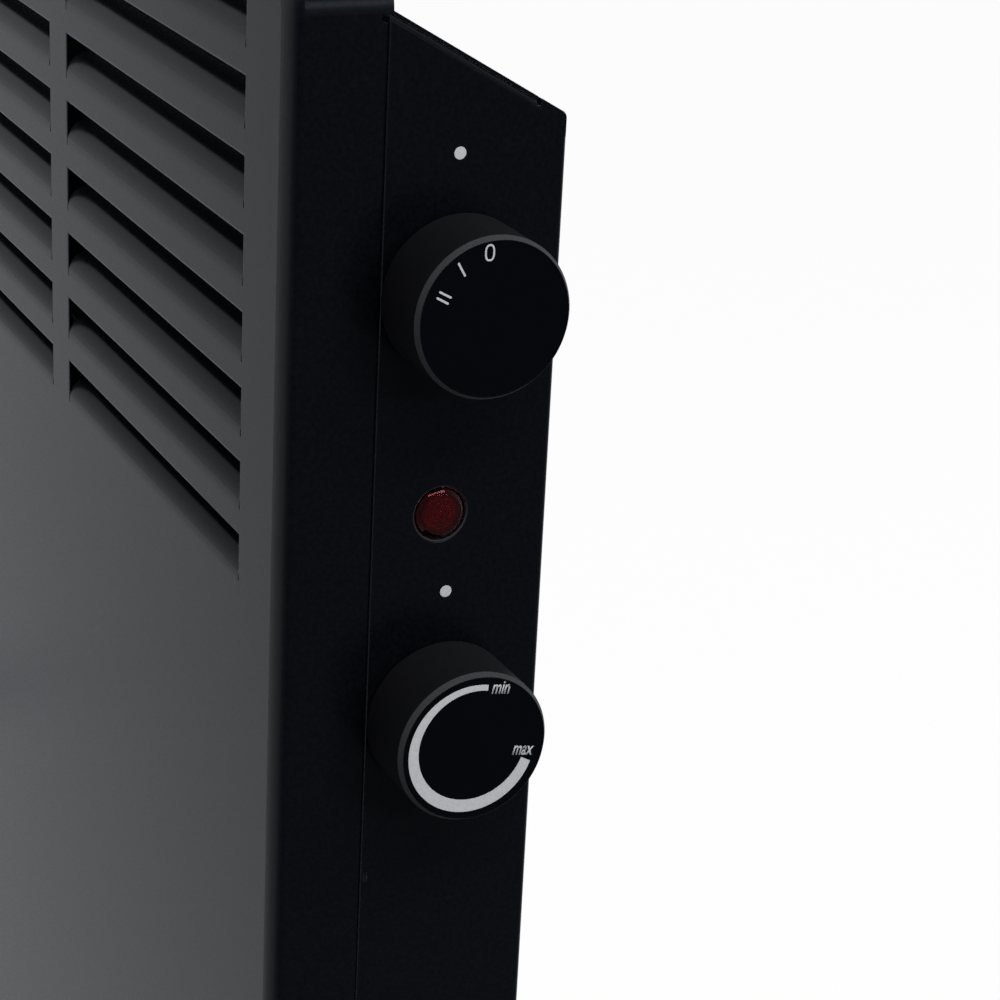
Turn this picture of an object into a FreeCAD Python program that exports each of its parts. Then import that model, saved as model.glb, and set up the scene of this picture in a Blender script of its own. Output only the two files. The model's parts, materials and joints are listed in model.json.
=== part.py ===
import FreeCAD, Part
import math
import os

from FreeCAD import Vector

# A free-standing panel convector heater, in millimetres.
# +Z is up, the louvred front faces -Y and the controls are on the +X end.
# The origin lies on the floor under the middle of the object.

# Casing
body_width = 640.0
body_height = 410.0
body_depth = 68.2
foot_height = 30.0
sheet = 0.8
lap_gap = 0.1
edge_gap = 0.8

# How far a cutter runs past what it cuts
over = 1.0

# Front tray
tray_depth = 22.7
tray_corner_radius = 11.0
tray_edge_radius = 4.0
top_flange_extra = 1.8
top_lip_gap = 0.6
corner_relief_radius = 1.0

# Louvres
louvre_columns = 4
louvre_rows = 8
louvre_side_margin = 25.3
louvre_top_margin = 10.6
louvre_column_gap = 15.8
louvre_pitch = 18.28
slot_height = 4.9
slot_edge_width = 0.5
slot_edge_depth = 0.15
lip_radius = 5.8
lip_sweep_radius = 13.0
lip_sweep_angle = 10.0
lip_depth = 9.0
lip_cut_gap = 0.15

# Rear slope and side panels
slope_angle = 30.0
slope_drop = 10.0
slope_setback = 1.0
slope_tuck = 6.0
side_flange = 14.0
side_screw_inset = 8.8
side_bend_radius = 1.5
side_corner_radius = 2.0
seam_gap_top = 1.2
seam_gap_bottom = 0.3
relief_setback = 6.8
relief_width = 1.2
relief_depth = 0.6
ear_setback = 0.55
tongue_reach = 8.0
tongue_lap = 3.0
tongue_margin = 20.0
tongue_top_margin = 4.0
seam_pip_radius = 0.5
seam_pip_height = 2.6
seam_pip_setback = 1.7
seam_pip_drop = 147.5

# Back panel
bend_radius = 2.0
keyhole_spacing = 380.0
keyhole_drop = 110.0
keyhole_radius = 5.0
keyhole_neck_radius = 2.5
keyhole_rise = 12.0
bead_height = 12.0
bead_depth = 2.0
bead_margin = 60.0
lower_bead_level = 90.0
upper_bead_level = 250.0

# Bottom grille
grille_slot_width = 7.0
grille_slot_length = 50.0
grille_slot_pitch = 62.0
grille_row_pitch = 14.0
grille_end_margin = 70.0
grille_lip = 12.0

# Feet
foot_length = 180.0
foot_width = 30.0
foot_inset = 70.0
foot_tip_height = 10.0
foot_arch_height = 7.0
foot_arch_length = 130.0
foot_edge_radius = 1.5
pad_radius = 10.0
pad_thickness = 3.0
pad_seat = 1.0
pad_inset = 16.0
pad_gap = 0.15
foot_screw_offset = 20.0
foot_screw_radius = 2.5
foot_screw_head_radius = 4.6
foot_screw_head_height = 2.6
foot_nut_radius = 4.6
foot_nut_height = 4.0

# Screws through the sheets
case_screw_radius = 2.0
case_screw_length = 6.0
case_screw_head_radius = 3.6
case_screw_head_height = 1.7
small_screw_radius = 1.5
small_screw_length = 4.0
small_screw_head_radius = 2.7
small_screw_head_height = 1.7
screw_gap = 0.1
screw_crown = 0.6
recess_reach = 0.55
recess_width = 0.12
recess_depth = 0.6
case_screw_margin = 25.0

# Inner plates
compartment_width = 62.0
bracket_inset = 45.0
plate_flange = 12.0
bracket_height = 190.0
partition_clearance = 2.5
shield_sheet = 0.6
shield_gap = 10.0
shield_bottom = 36.0
shield_height = 180.0
shield_tab = 9.0
shield_end_gap = 1.0
rivet_radius = 1.6
rivet_head_radius = 3.0
rivet_head_height = 1.0
rivet_crown = 0.7
rivet_inset = 60.0

# Heating elements
element_setback = 31.1
lower_element_level = 62.0
upper_element_level = 128.0
element_core_radius = 8.0
element_rod_radius = 4.0
element_fin_thickness = 1.6
element_fin_upright = 26.0
element_fin_level = 19.0
element_fin_slant = 26.0
element_fin_angle = 40.0
element_end_gap = 10.0
rod_reach = 14.0
rod_gap = 0.05
insulator_radius = 7.0
insulator_flange_radius = 10.0
insulator_flange = 4.0
insulator_nose = 8.0
insulator_gap = 0.1

# Spade tabs and their connectors
tab_width = 6.3
tab_thickness = 0.8
tab_length = 9.0
connector_width = 8.2
connector_thickness = 3.6
connector_overlap = 7.0
connector_gap = 0.1

# Knobs and shafts
knob_radius = 19.0
knob_height = 20.5
knob_bevel = 1.5
knob_face_radius = 18.1
knob_face_margin = 0.4
knob_face_recess = 0.1
knob_edge_radius = 0.3
knob_gap = 0.8
knob_wall = 2.0
knob_rib = 1.5
knob_rib_recess = 8.0
hub_radius = 6.0
hub_recess = 4.5
shaft_radius = 3.0
shaft_reach = 14.0
shaft_flat_length = 9.0
shaft_flat = 0.5
running_gap = 0.06
press_gap = 0.03
clip_width = 4.0
clip_thickness = 0.5
clip_length = 8.0

# Places of the controls
control_setback = 19.6
selector_drop = 75.5
knob_spacing = 105.0
lamp_setback = 17.9
lamp_drop = 129.0

# Selector switch
yoke_thickness = 1.0
yoke_width = 28.0
yoke_height = 38.0
selector_width = 26.0
selector_height = 32.0
selector_depth = 20.0
selector_cover_depth = 4.0
selector_pocket_radius = 10.5
selector_front_wall = 8.0
cam_radius = 9.5
cam_length = 9.0
cam_notch_radius = 2.0
selector_stages = 3
stage_angle = 29.0
selector_screw_offset = 12.5
selector_tab_rise = 10.0
selector_tab_side = 8.0
selector_tab_fall = 8.0
screw_hole_depth = 3.0

# Thermostat
frame_thickness = 1.2
frame_width = 22.0
frame_rise = 12.0
frame_fall = 28.0
bush_radius = 5.0
bush_flange_radius = 7.5
bush_flange = 2.0
bush_tail = 1.8
bush_nose = 4.0
nut_height = 3.0
nut_flats = 13.0
stack_fall = 20.0
stack_radius = 6.0
stack_hole_radius = 1.65
stack_rivet_radius = 1.6
stack_rivet_head_radius = 3.5
stack_rivet_head = 1.5
ring_first = 6.0
ring_middle = 5.0
ring_last = 6.0
contact_blade_thickness = 0.5
bimetal_thickness = 0.8
blade_width = 8.0
blade_rise = 6.0
contact_radius = 2.5
contact_split = 0.3
blade_gap = 0.4
blade_margin = 1.0

# Neon lamp
lamp_hole_radius = 6.7
lamp_hole_roll = 0.7
lens_radius = 5.6
lens_proud = 0.5
lens_shoulder = 0.6
lens_flange_radius = 8.5
lens_flange = 1.5
lens_pocket_radius = 4.6
lens_face = 1.2
lamp_body_radius = 7.0
lamp_body_shoulder = 6.5
lamp_tail_radius = 5.0
lamp_tail = 12.0
lamp_floor = 1.0
bulb_radius = 2.8
bulb_seat_gap = 0.1
bulb_length = 13.0
bulb_crown = 0.8
lamp_bracket_sheet = 0.6
lamp_bracket_width = 14.0
lamp_bracket_reach = 13.0
lead_radius = 0.8
lead_side = 2.0

# Thermal cut-out
cutout_level = 205.0
cutout_setback = 32.1
cutout_radius = 8.0
cutout_cap = 3.5
cutout_flange = 0.6
cutout_flange_width = 16.0
cutout_flange_length = 31.0
cutout_depth = 10.4
cutout_screw_offset = 12.0
cutout_tab_side = 5.0

# Terminal block, earth stud and cord gland
block_width = 30.0
block_depth = 18.0
block_height = 14.0
block_inset = 27.0
block_setback = 12.1
block_pole_pitch = 10.0
block_pole_level = 5.0
pole_entry = 0.7
pole_screw_radius = 2.0
pole_screw_length = 6.0
earth_inset = 18.75
earth_gap = 8.5
earth_ring_radius = 4.2
earth_barrel_radius = 1.9
earth_barrel_length = 6.0
gland_inset = 33.0
gland_gap = 16.5
gland_bore_radius = 3.9
gland_neck_radius = 7.4
gland_flange_radius = 10.0
gland_flange = 3.0
gland_collar_radius = 9.0
gland_collar = 2.5
gland_top_radius = 6.0
gland_top = 6.0

# Wires
wire_radius = 1.3
wire_bend = 6.0
bend_share = 0.45
wire_gap = 0.05
wire_hole_radius = 2.6
return_level = 20.0
return_gap = 5.5
clip_block = 8.0
clip_count = 3

# Places worked out from the sizes above
body_left = -(body_width + knob_height) / 2
body_right = body_left + body_width
body_middle = (body_left + body_right) / 2
front_y = -body_depth / 2
rear_y = body_depth / 2
seam_y = front_y + tray_depth
tray_rear_y = seam_y + top_flange_extra
bottom_z = foot_height
top_z = bottom_z + body_height
inner_right = body_right - sheet
back_outer_y = rear_y - sheet
back_inner_y = back_outer_y - sheet
floor_z = bottom_z + 2 * sheet
slope_tangent = math.tan(math.radians(slope_angle))
slope_cosine = math.cos(math.radians(slope_angle))
slope_y = seam_y + slope_setback
relief_y = rear_y - relief_setback
sheet_rise = sheet / slope_cosine
lap_rise = (sheet + lap_gap) / slope_cosine
partition_x = body_right - compartment_width
bracket_x = body_left + bracket_inset
element_y = front_y + element_setback
control_y = seam_y + control_setback
selector_z = top_z - selector_drop
thermostat_z = selector_z - knob_spacing
lamp_y = seam_y + lamp_setback
lamp_z = top_z - lamp_drop
shield_y = back_inner_y - shield_gap - shield_sheet

X_AXIS = Vector(1, 0, 0)
Y_AXIS = Vector(0, 1, 0)
Z_AXIS = Vector(0, 0, 1)


def box(x0, x1, y0, y1, z0, z1):
    """A box between two corners."""
    return Part.makeBox(x1 - x0, y1 - y0, z1 - z0, Vector(x0, y0, z0))


def rod_x(x0, x1, y, z, radius):
    """A round bar along X."""
    return Part.makeCylinder(radius, x1 - x0, Vector(x0, y, z), X_AXIS)


def rod_y(x, y0, y1, z, radius):
    """A round bar along Y."""
    return Part.makeCylinder(radius, y1 - y0, Vector(x, y0, z), Y_AXIS)


def rod_z(x, y, z0, z1, radius):
    """A round bar along Z."""
    return Part.makeCylinder(radius, z1 - z0, Vector(x, y, z0), Z_AXIS)


def prism_x(points, x0, x1):
    """A prism along X on a closed outline of (y, z) points."""
    corners = [Vector(x0, y, z) for y, z in points]
    face = Part.Face(Part.makePolygon(corners + corners[:1]))
    return face.extrude(Vector(x1 - x0, 0, 0))


def join(shapes):
    """One solid from overlapping or touching shapes."""
    return shapes[0].fuse(shapes[1:]).removeSplitter()


def edges_along(shape, axis):
    """The straight edges of a shape that run along an axis."""
    chosen = []
    for edge in shape.Edges:
        if not isinstance(edge.Curve, Part.Line):
            continue
        if abs(edge.Curve.Direction.dot(axis)) > 0.999:
            chosen.append(edge)
    return chosen


def edges_in_plane(shape, axis, level):
    """The edges of a shape that lie in a plane across an axis."""
    tolerance = 1e-5
    chosen = []
    for edge in shape.Edges:
        box_low = Vector(edge.BoundBox.XMin, edge.BoundBox.YMin, edge.BoundBox.ZMin).dot(axis)
        box_high = Vector(edge.BoundBox.XMax, edge.BoundBox.YMax, edge.BoundBox.ZMax).dot(axis)
        if abs(box_low - level) < tolerance and abs(box_high - level) < tolerance:
            chosen.append(edge)
    return chosen


def edges_at(shape, axis, u, v):
    """The straight edges along an axis that pass through one point of the plane across it."""
    tolerance = 1e-4
    chosen = []
    for edge in edges_along(shape, axis):
        point = edge.Vertexes[0].Point
        across = [point.x, point.y, point.z]
        del across[[abs(c) for c in axis].index(1.0)]
        if abs(across[0] - u) < tolerance and abs(across[1] - v) < tolerance:
            chosen.append(edge)
    return chosen


def placed(shape, point, direction):
    """A copy of a shape made along +Z, turned to a direction and moved to a point."""
    turned = shape.copy()
    turned.Placement = FreeCAD.Placement(point, FreeCAD.Rotation(Z_AXIS, direction))
    return turned


def bar(start, direction, wide, length, width, thickness):
    """A flat bar from the middle of its end face, with its width along one axis."""
    across = wide * (width / 2) + direction.cross(wide) * (thickness / 2)
    first = start - across
    last = start + direction * length + across
    low = [min(a, b) for a, b in zip(first, last)]
    high = [max(a, b) for a, b in zip(first, last)]
    return box(low[0], high[0], low[1], high[1], low[2], high[2])


def pan_screw(radius, length, head_radius, head_height):
    """A pan head screw with a cross recess, its seat at the origin and its shank along +Z."""
    head = Part.makeCylinder(head_radius, head_height, Vector(0, 0, -head_height))
    head = head.makeFillet(head_height * screw_crown, edges_in_plane(head, Z_AXIS, -head_height))
    arm = head_radius * recess_reach
    slot = head_radius * recess_width
    depth = head_height * recess_depth
    recess = join([
        box(-arm, arm, -slot, slot, -head_height - over, -head_height + depth),
        box(-slot, slot, -arm, arm, -head_height - over, -head_height + depth),
    ])
    return join([head.cut(recess), Part.makeCylinder(radius, length)])


def hexagon(flats, height):
    """A hexagonal block on the XY plane, by its width across flats."""
    corner = flats / math.sqrt(3)
    points = []
    for step in range(7):
        turn = math.radians(60 * step)
        points.append(Vector(corner * math.cos(turn), corner * math.sin(turn), 0))
    return Part.Face(Part.makePolygon(points)).extrude(Vector(0, 0, height))


def cable(points, radius):
    """A round wire along straight runs that are joined by tangent arcs."""
    edges = []
    last = points[0]
    for before, corner, after in zip(points, points[1:], points[2:]):
        back = before - corner
        ahead = after - corner
        shorter = min(back.Length, ahead.Length)
        back.normalize()
        ahead.normalize()
        half_turn = (math.pi - back.getAngle(ahead)) / 2
        reach = min(wire_bend * math.tan(half_turn), bend_share * shorter)
        bend = reach / math.tan(half_turn)
        inward = (back + ahead).normalize()
        middle = corner + inward * (bend / math.cos(half_turn) - bend)
        start = corner + back * reach
        end = corner + ahead * reach
        edges.append(Part.LineSegment(last, start).toShape())
        edges.append(Part.Arc(start, middle, end).toShape())
        last = end
    edges.append(Part.LineSegment(last, points[-1]).toShape())
    section = Part.Wire(Part.makeCircle(radius, points[0], points[1] - points[0]))
    return Part.Wire(edges).makePipeShell([section], True, False)


def slope_z(y):
    """Height of the sloping top's outer surface."""
    return top_z - slope_drop - (y - slope_y) * slope_tangent


def tray_block(inset, rear):
    """The tray's outer form, drawn in by an inset, with its rounded corners and front edge."""
    block = box(body_left + inset, body_right - inset, front_y + inset, rear,
                bottom_z + inset, top_z - inset)
    block = block.makeFillet(tray_corner_radius - inset, edges_along(block, Y_AXIS))
    front_loop = edges_in_plane(block, Y_AXIS, front_y + inset)
    return block.makeFillet(tray_edge_radius - inset, front_loop)


def louvre_cells():
    """The left end, right end and upper edge of every louvre slot."""
    field = body_width - 2 * louvre_side_margin
    length = (field - (louvre_columns - 1) * louvre_column_gap) / louvre_columns
    cells = []
    for column in range(louvre_columns):
        x0 = body_left + louvre_side_margin + column * (length + louvre_column_gap)
        for row in range(louvre_rows):
            cells.append((x0, x0 + length, top_z - louvre_top_margin - row * louvre_pitch))
    return cells


def louvre_crease(top):
    """The height of the crease where a louvre's tongue leaves the front."""
    turn = math.sin(math.radians(lip_sweep_angle))
    return top - slot_height - lip_radius * (1 - turn) - lip_sweep_radius * turn


def slot_edge_cut(x0, x1, top):
    """The slight roll of the sheet round a slot's top and ends, as a shallow tapered cut."""
    spread = slot_edge_width * (slot_edge_depth + over) / slot_edge_depth
    low = louvre_crease(top)
    return Part.makeWedge(x0 - spread, front_y - over, low, low, x0,
                          x1 + spread, front_y + slot_edge_depth, top + spread, top, x1)


def louvre_lip(x0, x1, top):
    """The tongue under a slot: swept inwards from the front, rolled over and level behind the roll."""
    shelf = top - slot_height
    crease = louvre_crease(top)
    turn = math.radians(lip_sweep_angle)
    sweep_y = front_y + lip_sweep_radius
    roll_y = sweep_y - (lip_sweep_radius - lip_radius) * math.cos(turn)
    roll_z = shelf - lip_radius
    tip_y = front_y + lip_depth

    def line(y0, z0, y1, z1):
        return Part.makeLine(Vector(x0, y0, z0), Vector(x0, y1, z1))

    def arc(y, z, radius, first, last):
        points = []
        for angle in (first, (first + last) / 2, last):
            points.append(Vector(x0, y - radius * math.cos(angle), z + radius * math.sin(angle)))
        return Part.Arc(*points).toShape()

    edges = [
        arc(sweep_y, crease, lip_sweep_radius, 0, turn),
        arc(roll_y, roll_z, lip_radius, turn, math.pi / 2),
        line(roll_y, shelf, tip_y, shelf),
        line(tip_y, shelf, tip_y, shelf - sheet),
        line(tip_y, shelf - sheet, roll_y, shelf - sheet),
        arc(roll_y, roll_z, lip_radius - sheet, turn, math.pi / 2),
        arc(sweep_y, crease, lip_sweep_radius - sheet, 0, turn),
        line(front_y + sheet, crease, front_y, crease),
    ]
    face = Part.Face(Part.Wire(Part.__sortEdges__(edges)))
    return face.extrude(Vector(x1 - x0, 0, 0))


def tray_screw_places():
    """Where screws go up through the tray's bottom flange into the grille."""
    span = body_width - 4 * tray_corner_radius
    first = body_left + 2 * tray_corner_radius
    y = (front_y + tray_edge_radius + seam_y) / 2
    return [Vector(first + span * step / 3, y, bottom_z) for step in range(4)]


def foot_middles():
    """The X of the middle of each foot, left then right."""
    return [body_left + foot_inset, body_right - foot_inset]


def foot_screw_places(middle):
    """The two screw axes of a foot, front then rear."""
    return [(middle, -foot_screw_offset), (middle, foot_screw_offset)]


def front_panel():
    """The pressed front tray with its louvres."""
    tray = tray_block(0, tray_rear_y).cut(tray_block(sheet, tray_rear_y + over))
    step_z = top_z - tray_corner_radius
    trim = box(body_left - over, body_right + over, seam_y, tray_rear_y + over, bottom_z - over, step_z)
    relief = rod_x(body_left - over, body_right + over, seam_y, step_z - corner_relief_radius,
                   corner_relief_radius)
    tray = tray.cut([trim, relief])
    lip_z = slope_z(tray_rear_y - sheet) + top_lip_gap
    lip = box(body_left + tray_corner_radius, body_right - tray_corner_radius,
              tray_rear_y - sheet, tray_rear_y, lip_z, top_z)
    tray = join([tray, lip])
    slots = []
    lips = []
    for x0, x1, top in louvre_cells():
        slots.append(box(x0, x1, front_y - over, front_y + 2 * sheet, louvre_crease(top), top))
        slots.append(slot_edge_cut(x0, x1, top))
        lips.append(louvre_lip(x0 + lip_cut_gap, x1 - lip_cut_gap, top))
    holes = [rod_z(p.x, p.y, bottom_z - over, bottom_z + 2 * sheet, case_screw_radius + screw_gap)
             for p in tray_screw_places()]
    for middle in foot_middles():
        x, y = foot_screw_places(middle)[0]
        holes.append(rod_z(x, y, bottom_z - over, bottom_z + 2 * sheet, foot_screw_radius + screw_gap))
    return join([tray.cut(slots + holes)] + lips)


def seam_edge_y(z):
    """The front edge of a side panel: the seam narrows from the top to the bottom."""
    share = (z - bottom_z) / (top_z - bottom_z)
    return seam_y + seam_gap_bottom + (seam_gap_top - seam_gap_bottom) * share


def side_block(inset, x0, x1, front_extra):
    """The form of a side panel with its flanges, drawn in by an inset."""
    low = bottom_z + inset
    back = rear_y - inset
    rise = lap_rise + inset / slope_cosine
    front_low = seam_edge_y(bottom_z) - front_extra
    front_top = seam_edge_y(slope_z(seam_y)) - front_extra
    block = prism_x([(front_low, low), (back, low), (back, slope_z(back) - rise),
                     (front_top, slope_z(front_top) - rise)], x0, x1)
    corners = edges_at(block, X_AXIS, back, low) + edges_at(block, X_AXIS, back, slope_z(back) - rise)
    block = block.makeFillet(side_corner_radius - inset, corners)
    outline = []
    for edge in edges_in_plane(block, X_AXIS, x1):
        if edge.BoundBox.YMax > front_low + side_flange:
            outline.append(edge)
    return block.makeFillet(side_bend_radius - inset, outline)


def side_screw_levels():
    """The heights of the screws that hold the back panel to a side panel."""
    low = bottom_z + case_screw_margin
    high = slope_z(rear_y) - case_screw_margin
    return [low, (low + high) / 2, high]


def side_panel():
    """The right side panel before its control holes."""
    x1 = body_right
    x0 = body_right - side_flange
    panel = side_block(0, x0, x1, 0).cut(side_block(sheet, x0 - over, x1 - sheet, tray_depth))
    # The rear corner of the slope keeps the panel's full height and no flange.
    low = slope_z(rear_y) - lap_rise - 2 * side_corner_radius
    open_corner = box(x0 - over, x1 - sheet, relief_y, rear_y - 2 * sheet, low, top_z)
    open_flange = box(x0 - over, x1 - side_bend_radius, relief_y, rear_y + over, low, top_z)
    ear_y = rear_y - ear_setback
    ear = prism_x([(relief_y, low), (ear_y, low), (ear_y, slope_z(ear_y)), (relief_y, slope_z(relief_y))],
                  x1 - sheet, x1)
    ear = ear.makeFillet(side_corner_radius, edges_at(ear, X_AXIS, ear_y, slope_z(ear_y)))
    relief = box(x0 - over, x1 + over, relief_y - relief_width, relief_y,
                 slope_z(relief_y) - lap_rise - relief_depth, top_z)
    panel = join([panel.cut([open_corner, open_flange]), ear]).cut(relief)
    # A stepped tongue slips inside the tray's flange.
    tongue_x = x1 - sheet - lap_gap
    tongue_low = bottom_z + tongue_margin
    tongue_high = slope_z(seam_y) - tongue_top_margin
    step_y = seam_y + seam_gap_top
    tongue = box(tongue_x - sheet, tongue_x, seam_y - tongue_reach, step_y + tongue_lap, tongue_low,
                 tongue_high)
    web = box(tongue_x - sheet, x1 - sheet / 2, step_y, step_y + tongue_lap, tongue_low, tongue_high)
    panel = join([panel, tongue, web])
    holes = [rod_y(x1 - side_screw_inset, rear_y - 2 * sheet, rear_y + over, z,
                   case_screw_radius + screw_gap)
             for z in side_screw_levels()]
    return panel.cut(holes)


def selector_screw_places():
    """The two small screws under the selector knob."""
    return [(control_y, selector_z - selector_screw_offset),
            (control_y, selector_z + selector_screw_offset)]


def right_side_panel():
    """The side panel that carries the controls."""
    holes = [
        rod_x(inner_right - over, body_right + over, control_y, selector_z, shaft_radius + edge_gap),
        rod_x(inner_right - over, body_right + over, control_y, thermostat_z, bush_radius + screw_gap),
        rod_x(inner_right - over, body_right + over, lamp_y, lamp_z, lamp_hole_radius),
    ]
    for y, z in selector_screw_places():
        holes.append(rod_x(inner_right - over, body_right + over, y, z, small_screw_radius + screw_gap))
    pip_z = selector_z - seam_pip_drop
    pip = rod_z(body_right - seam_pip_radius / 2, seam_y + seam_pip_setback, pip_z, pip_z + seam_pip_height,
                seam_pip_radius)
    panel = join([side_panel(), pip]).cut(holes)
    rim = []
    for edge in edges_in_plane(panel, X_AXIS, body_right):
        if isinstance(edge.Curve, Part.Circle) and abs(edge.Curve.Radius - lamp_hole_radius) < 1e-6:
            rim.append(edge)
    return panel.makeFillet(lamp_hole_roll, rim)


def left_side_panel():
    """The plain side panel, a mirror image without the control holes."""
    return side_panel().mirror(Vector(body_middle, 0, 0), X_AXIS)


def plate_screw_levels():
    """The heights of the screws through the back into the partition and the element bracket."""
    low = bottom_z + 2 * case_screw_margin
    return [low, bottom_z + bracket_height - case_screw_margin]


def rivet_places():
    """The rivets of the heat shield, on its upper and lower tabs."""
    x0 = bracket_x + rivet_inset
    x1 = partition_x - rivet_inset
    low = bottom_z + shield_bottom - shield_tab / 2
    high = bottom_z + shield_bottom + shield_height + shield_tab / 2
    return [(x, z) for x in (x0, x1) for z in (low, high)]


def keyhole(x, z):
    """A hanging hole: a round mouth with a narrow neck above it."""
    mouth = rod_y(x, back_inner_y - over, back_outer_y + over, z, keyhole_radius)
    neck = box(x - keyhole_neck_radius, x + keyhole_neck_radius, back_inner_y - over, back_outer_y + over,
               z, z + keyhole_rise)
    end = rod_y(x, back_inner_y - over, back_outer_y + over, z + keyhole_rise, keyhole_neck_radius)
    return join([mouth, neck, end])


def back_panel():
    """The back sheet, bent forwards at its top into the slope."""
    inset = sheet + edge_gap
    x0 = body_left + inset
    x1 = body_right - inset
    low = bottom_z + side_corner_radius + lap_gap
    front = tray_rear_y + lap_gap
    back = prism_x([(front, slope_z(front)), (back_outer_y, slope_z(back_outer_y)), (back_outer_y, low),
                    (back_inner_y, low), (back_inner_y, slope_z(back_inner_y) - sheet_rise),
                    (front, slope_z(front) - sheet_rise)], x0, x1)
    back = back.makeFillet(bend_radius, edges_at(back, X_AXIS, back_outer_y, slope_z(back_outer_y)))
    inner_bend = edges_at(back, X_AXIS, back_inner_y, slope_z(back_inner_y) - sheet_rise)
    back = back.makeFillet(bend_radius - sheet, inner_bend)
    # The slope lies over the side panels' flanges and tucks in under the tray's top.
    lap_end = relief_y - relief_width
    lap = prism_x([(front, slope_z(front)), (lap_end, slope_z(lap_end)),
                   (lap_end, slope_z(lap_end) - sheet_rise), (front, slope_z(front) - sheet_rise)],
                  body_left + lap_gap, body_right - lap_gap)
    tuck = seam_y - slope_tuck
    under = prism_x([(tuck, slope_z(tuck)), (front, slope_z(front)), (front, slope_z(front) - sheet_rise),
                     (tuck, slope_z(tuck) - sheet_rise)],
                    body_left + tray_corner_radius + edge_gap, body_right - tray_corner_radius - edge_gap)
    back = join([back, lap, under])
    ridges = []
    grooves = []
    for level in (lower_bead_level, upper_bead_level):
        z0 = bottom_z + level
        z1 = z0 + bead_height
        b0 = bracket_x + bead_margin
        b1 = partition_x - bead_margin
        ridges.append(box(b0, b1, back_inner_y - bead_depth, back_outer_y, z0, z1))
        grooves.append(box(b0 + sheet, b1 - sheet, back_outer_y - bead_depth, back_outer_y + over,
                           z0 + sheet, z1 - sheet))
    holes = [keyhole(body_middle - keyhole_spacing / 2, top_z - keyhole_drop),
             keyhole(body_middle + keyhole_spacing / 2, top_z - keyhole_drop)]
    for x in (body_left + side_screw_inset, body_right - side_screw_inset):
        for z in side_screw_levels():
            holes.append(rod_y(x, back_inner_y - over, back_outer_y + over, z,
                               case_screw_radius + screw_gap))
    for x in (bracket_x - plate_flange / 2, partition_x + plate_flange / 2):
        for z in plate_screw_levels():
            holes.append(rod_y(x, back_inner_y - over, back_outer_y + over, z,
                               case_screw_radius + screw_gap))
    for x, z in rivet_places():
        holes.append(rod_y(x, back_inner_y - over, back_outer_y + over, z, rivet_radius + wire_gap))
    return join([back] + ridges).cut(grooves + holes)


def block_middle():
    """The middle of the terminal block on the grille."""
    return Vector(body_right - block_inset - block_width / 2, front_y + block_setback + block_depth / 2,
                  floor_z)


def earth_place():
    """The foot of the earth stud on the grille."""
    return Vector(body_right - earth_inset, back_inner_y - earth_gap, floor_z)


def gland_place():
    """The axis of the cord gland at the grille's upper face."""
    return Vector(body_right - gland_inset, back_inner_y - gland_gap, floor_z)


def grille_slots():
    """The air inlets of the bottom plate, in rows that stop short of the plates above them."""
    run = partition_x - bracket_x - 2 * grille_end_margin
    count = int((run - grille_slot_length) / grille_slot_pitch) + 1
    first = (bracket_x + partition_x) / 2 - (count - 1) * grille_slot_pitch / 2
    middle_y = (seam_y + back_inner_y - grille_slot_width) / 2
    half = (grille_slot_length - grille_slot_width) / 2
    radius = grille_slot_width / 2
    slots = []
    for row in (-1, 0, 1):
        y = middle_y + row * grille_row_pitch
        for step in range(count):
            x = first + step * grille_slot_pitch
            slots.append(join([
                box(x - half, x + half, y - radius, y + radius, bottom_z, floor_z + over),
                rod_z(x - half, y, bottom_z, floor_z + over, radius),
                rod_z(x + half, y, bottom_z, floor_z + over, radius),
            ]))
    return slots


def bottom_grille():
    """The air inlet plate, on the tray's and side panels' bottom flanges."""
    z0 = bottom_z + sheet
    side = sheet + edge_gap
    corner = tray_corner_radius + edge_gap
    rear = back_inner_y - edge_gap
    front = box(body_left + corner, body_right - corner, front_y + tray_edge_radius + edge_gap, rear, z0,
                floor_z)
    main = box(body_left + side, body_right - side, seam_y + 2 * seam_gap_top, rear, z0, floor_z)
    lip_x0 = bracket_x + 2 * plate_flange
    lip_x1 = partition_x - 2 * plate_flange
    edge = box(lip_x0, lip_x1, seam_y, back_inner_y, z0, floor_z)
    lip = box(lip_x0, lip_x1, back_inner_y - sheet, back_inner_y, z0, floor_z + grille_lip)
    plate = join([front, main, edge, lip])
    holes = grille_slots()
    for p in tray_screw_places():
        holes.append(rod_z(p.x, p.y, bottom_z, floor_z + over, case_screw_radius + screw_gap))
    for middle in foot_middles():
        for x, y in foot_screw_places(middle):
            holes.append(rod_z(x, y, bottom_z, floor_z + over, foot_screw_radius + screw_gap))
    gland = gland_place()
    holes.append(rod_z(gland.x, gland.y, bottom_z, floor_z + over, gland_neck_radius + screw_gap))
    earth = earth_place()
    holes.append(rod_z(earth.x, earth.y, bottom_z, floor_z + over, case_screw_radius + screw_gap))
    return plate.cut(holes)


def element_heights():
    """The heights of the two heating elements' axes."""
    return [bottom_z + lower_element_level, bottom_z + upper_element_level]


def plate_front_y():
    """The front edge of the inner plates, clear of the louvres' lips."""
    return front_y + lip_depth + partition_clearance


def wire_lane():
    """The Y and Z of the return wire along the back panel."""
    return back_inner_y - return_gap, floor_z + return_level


def cutout_middle():
    """The middle of the thermal cut-out on the partition."""
    return front_y + cutout_setback, bottom_z + cutout_level


def plate_holes(x):
    """The holes that the partition and the element bracket share."""
    y, z = wire_lane()
    holes = [rod_x(x - plate_flange, x + plate_flange, y, z, wire_hole_radius)]
    for level in element_heights():
        holes.append(rod_x(x - plate_flange, x + plate_flange, element_y, level,
                           insulator_radius + insulator_gap))
    return holes


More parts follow.
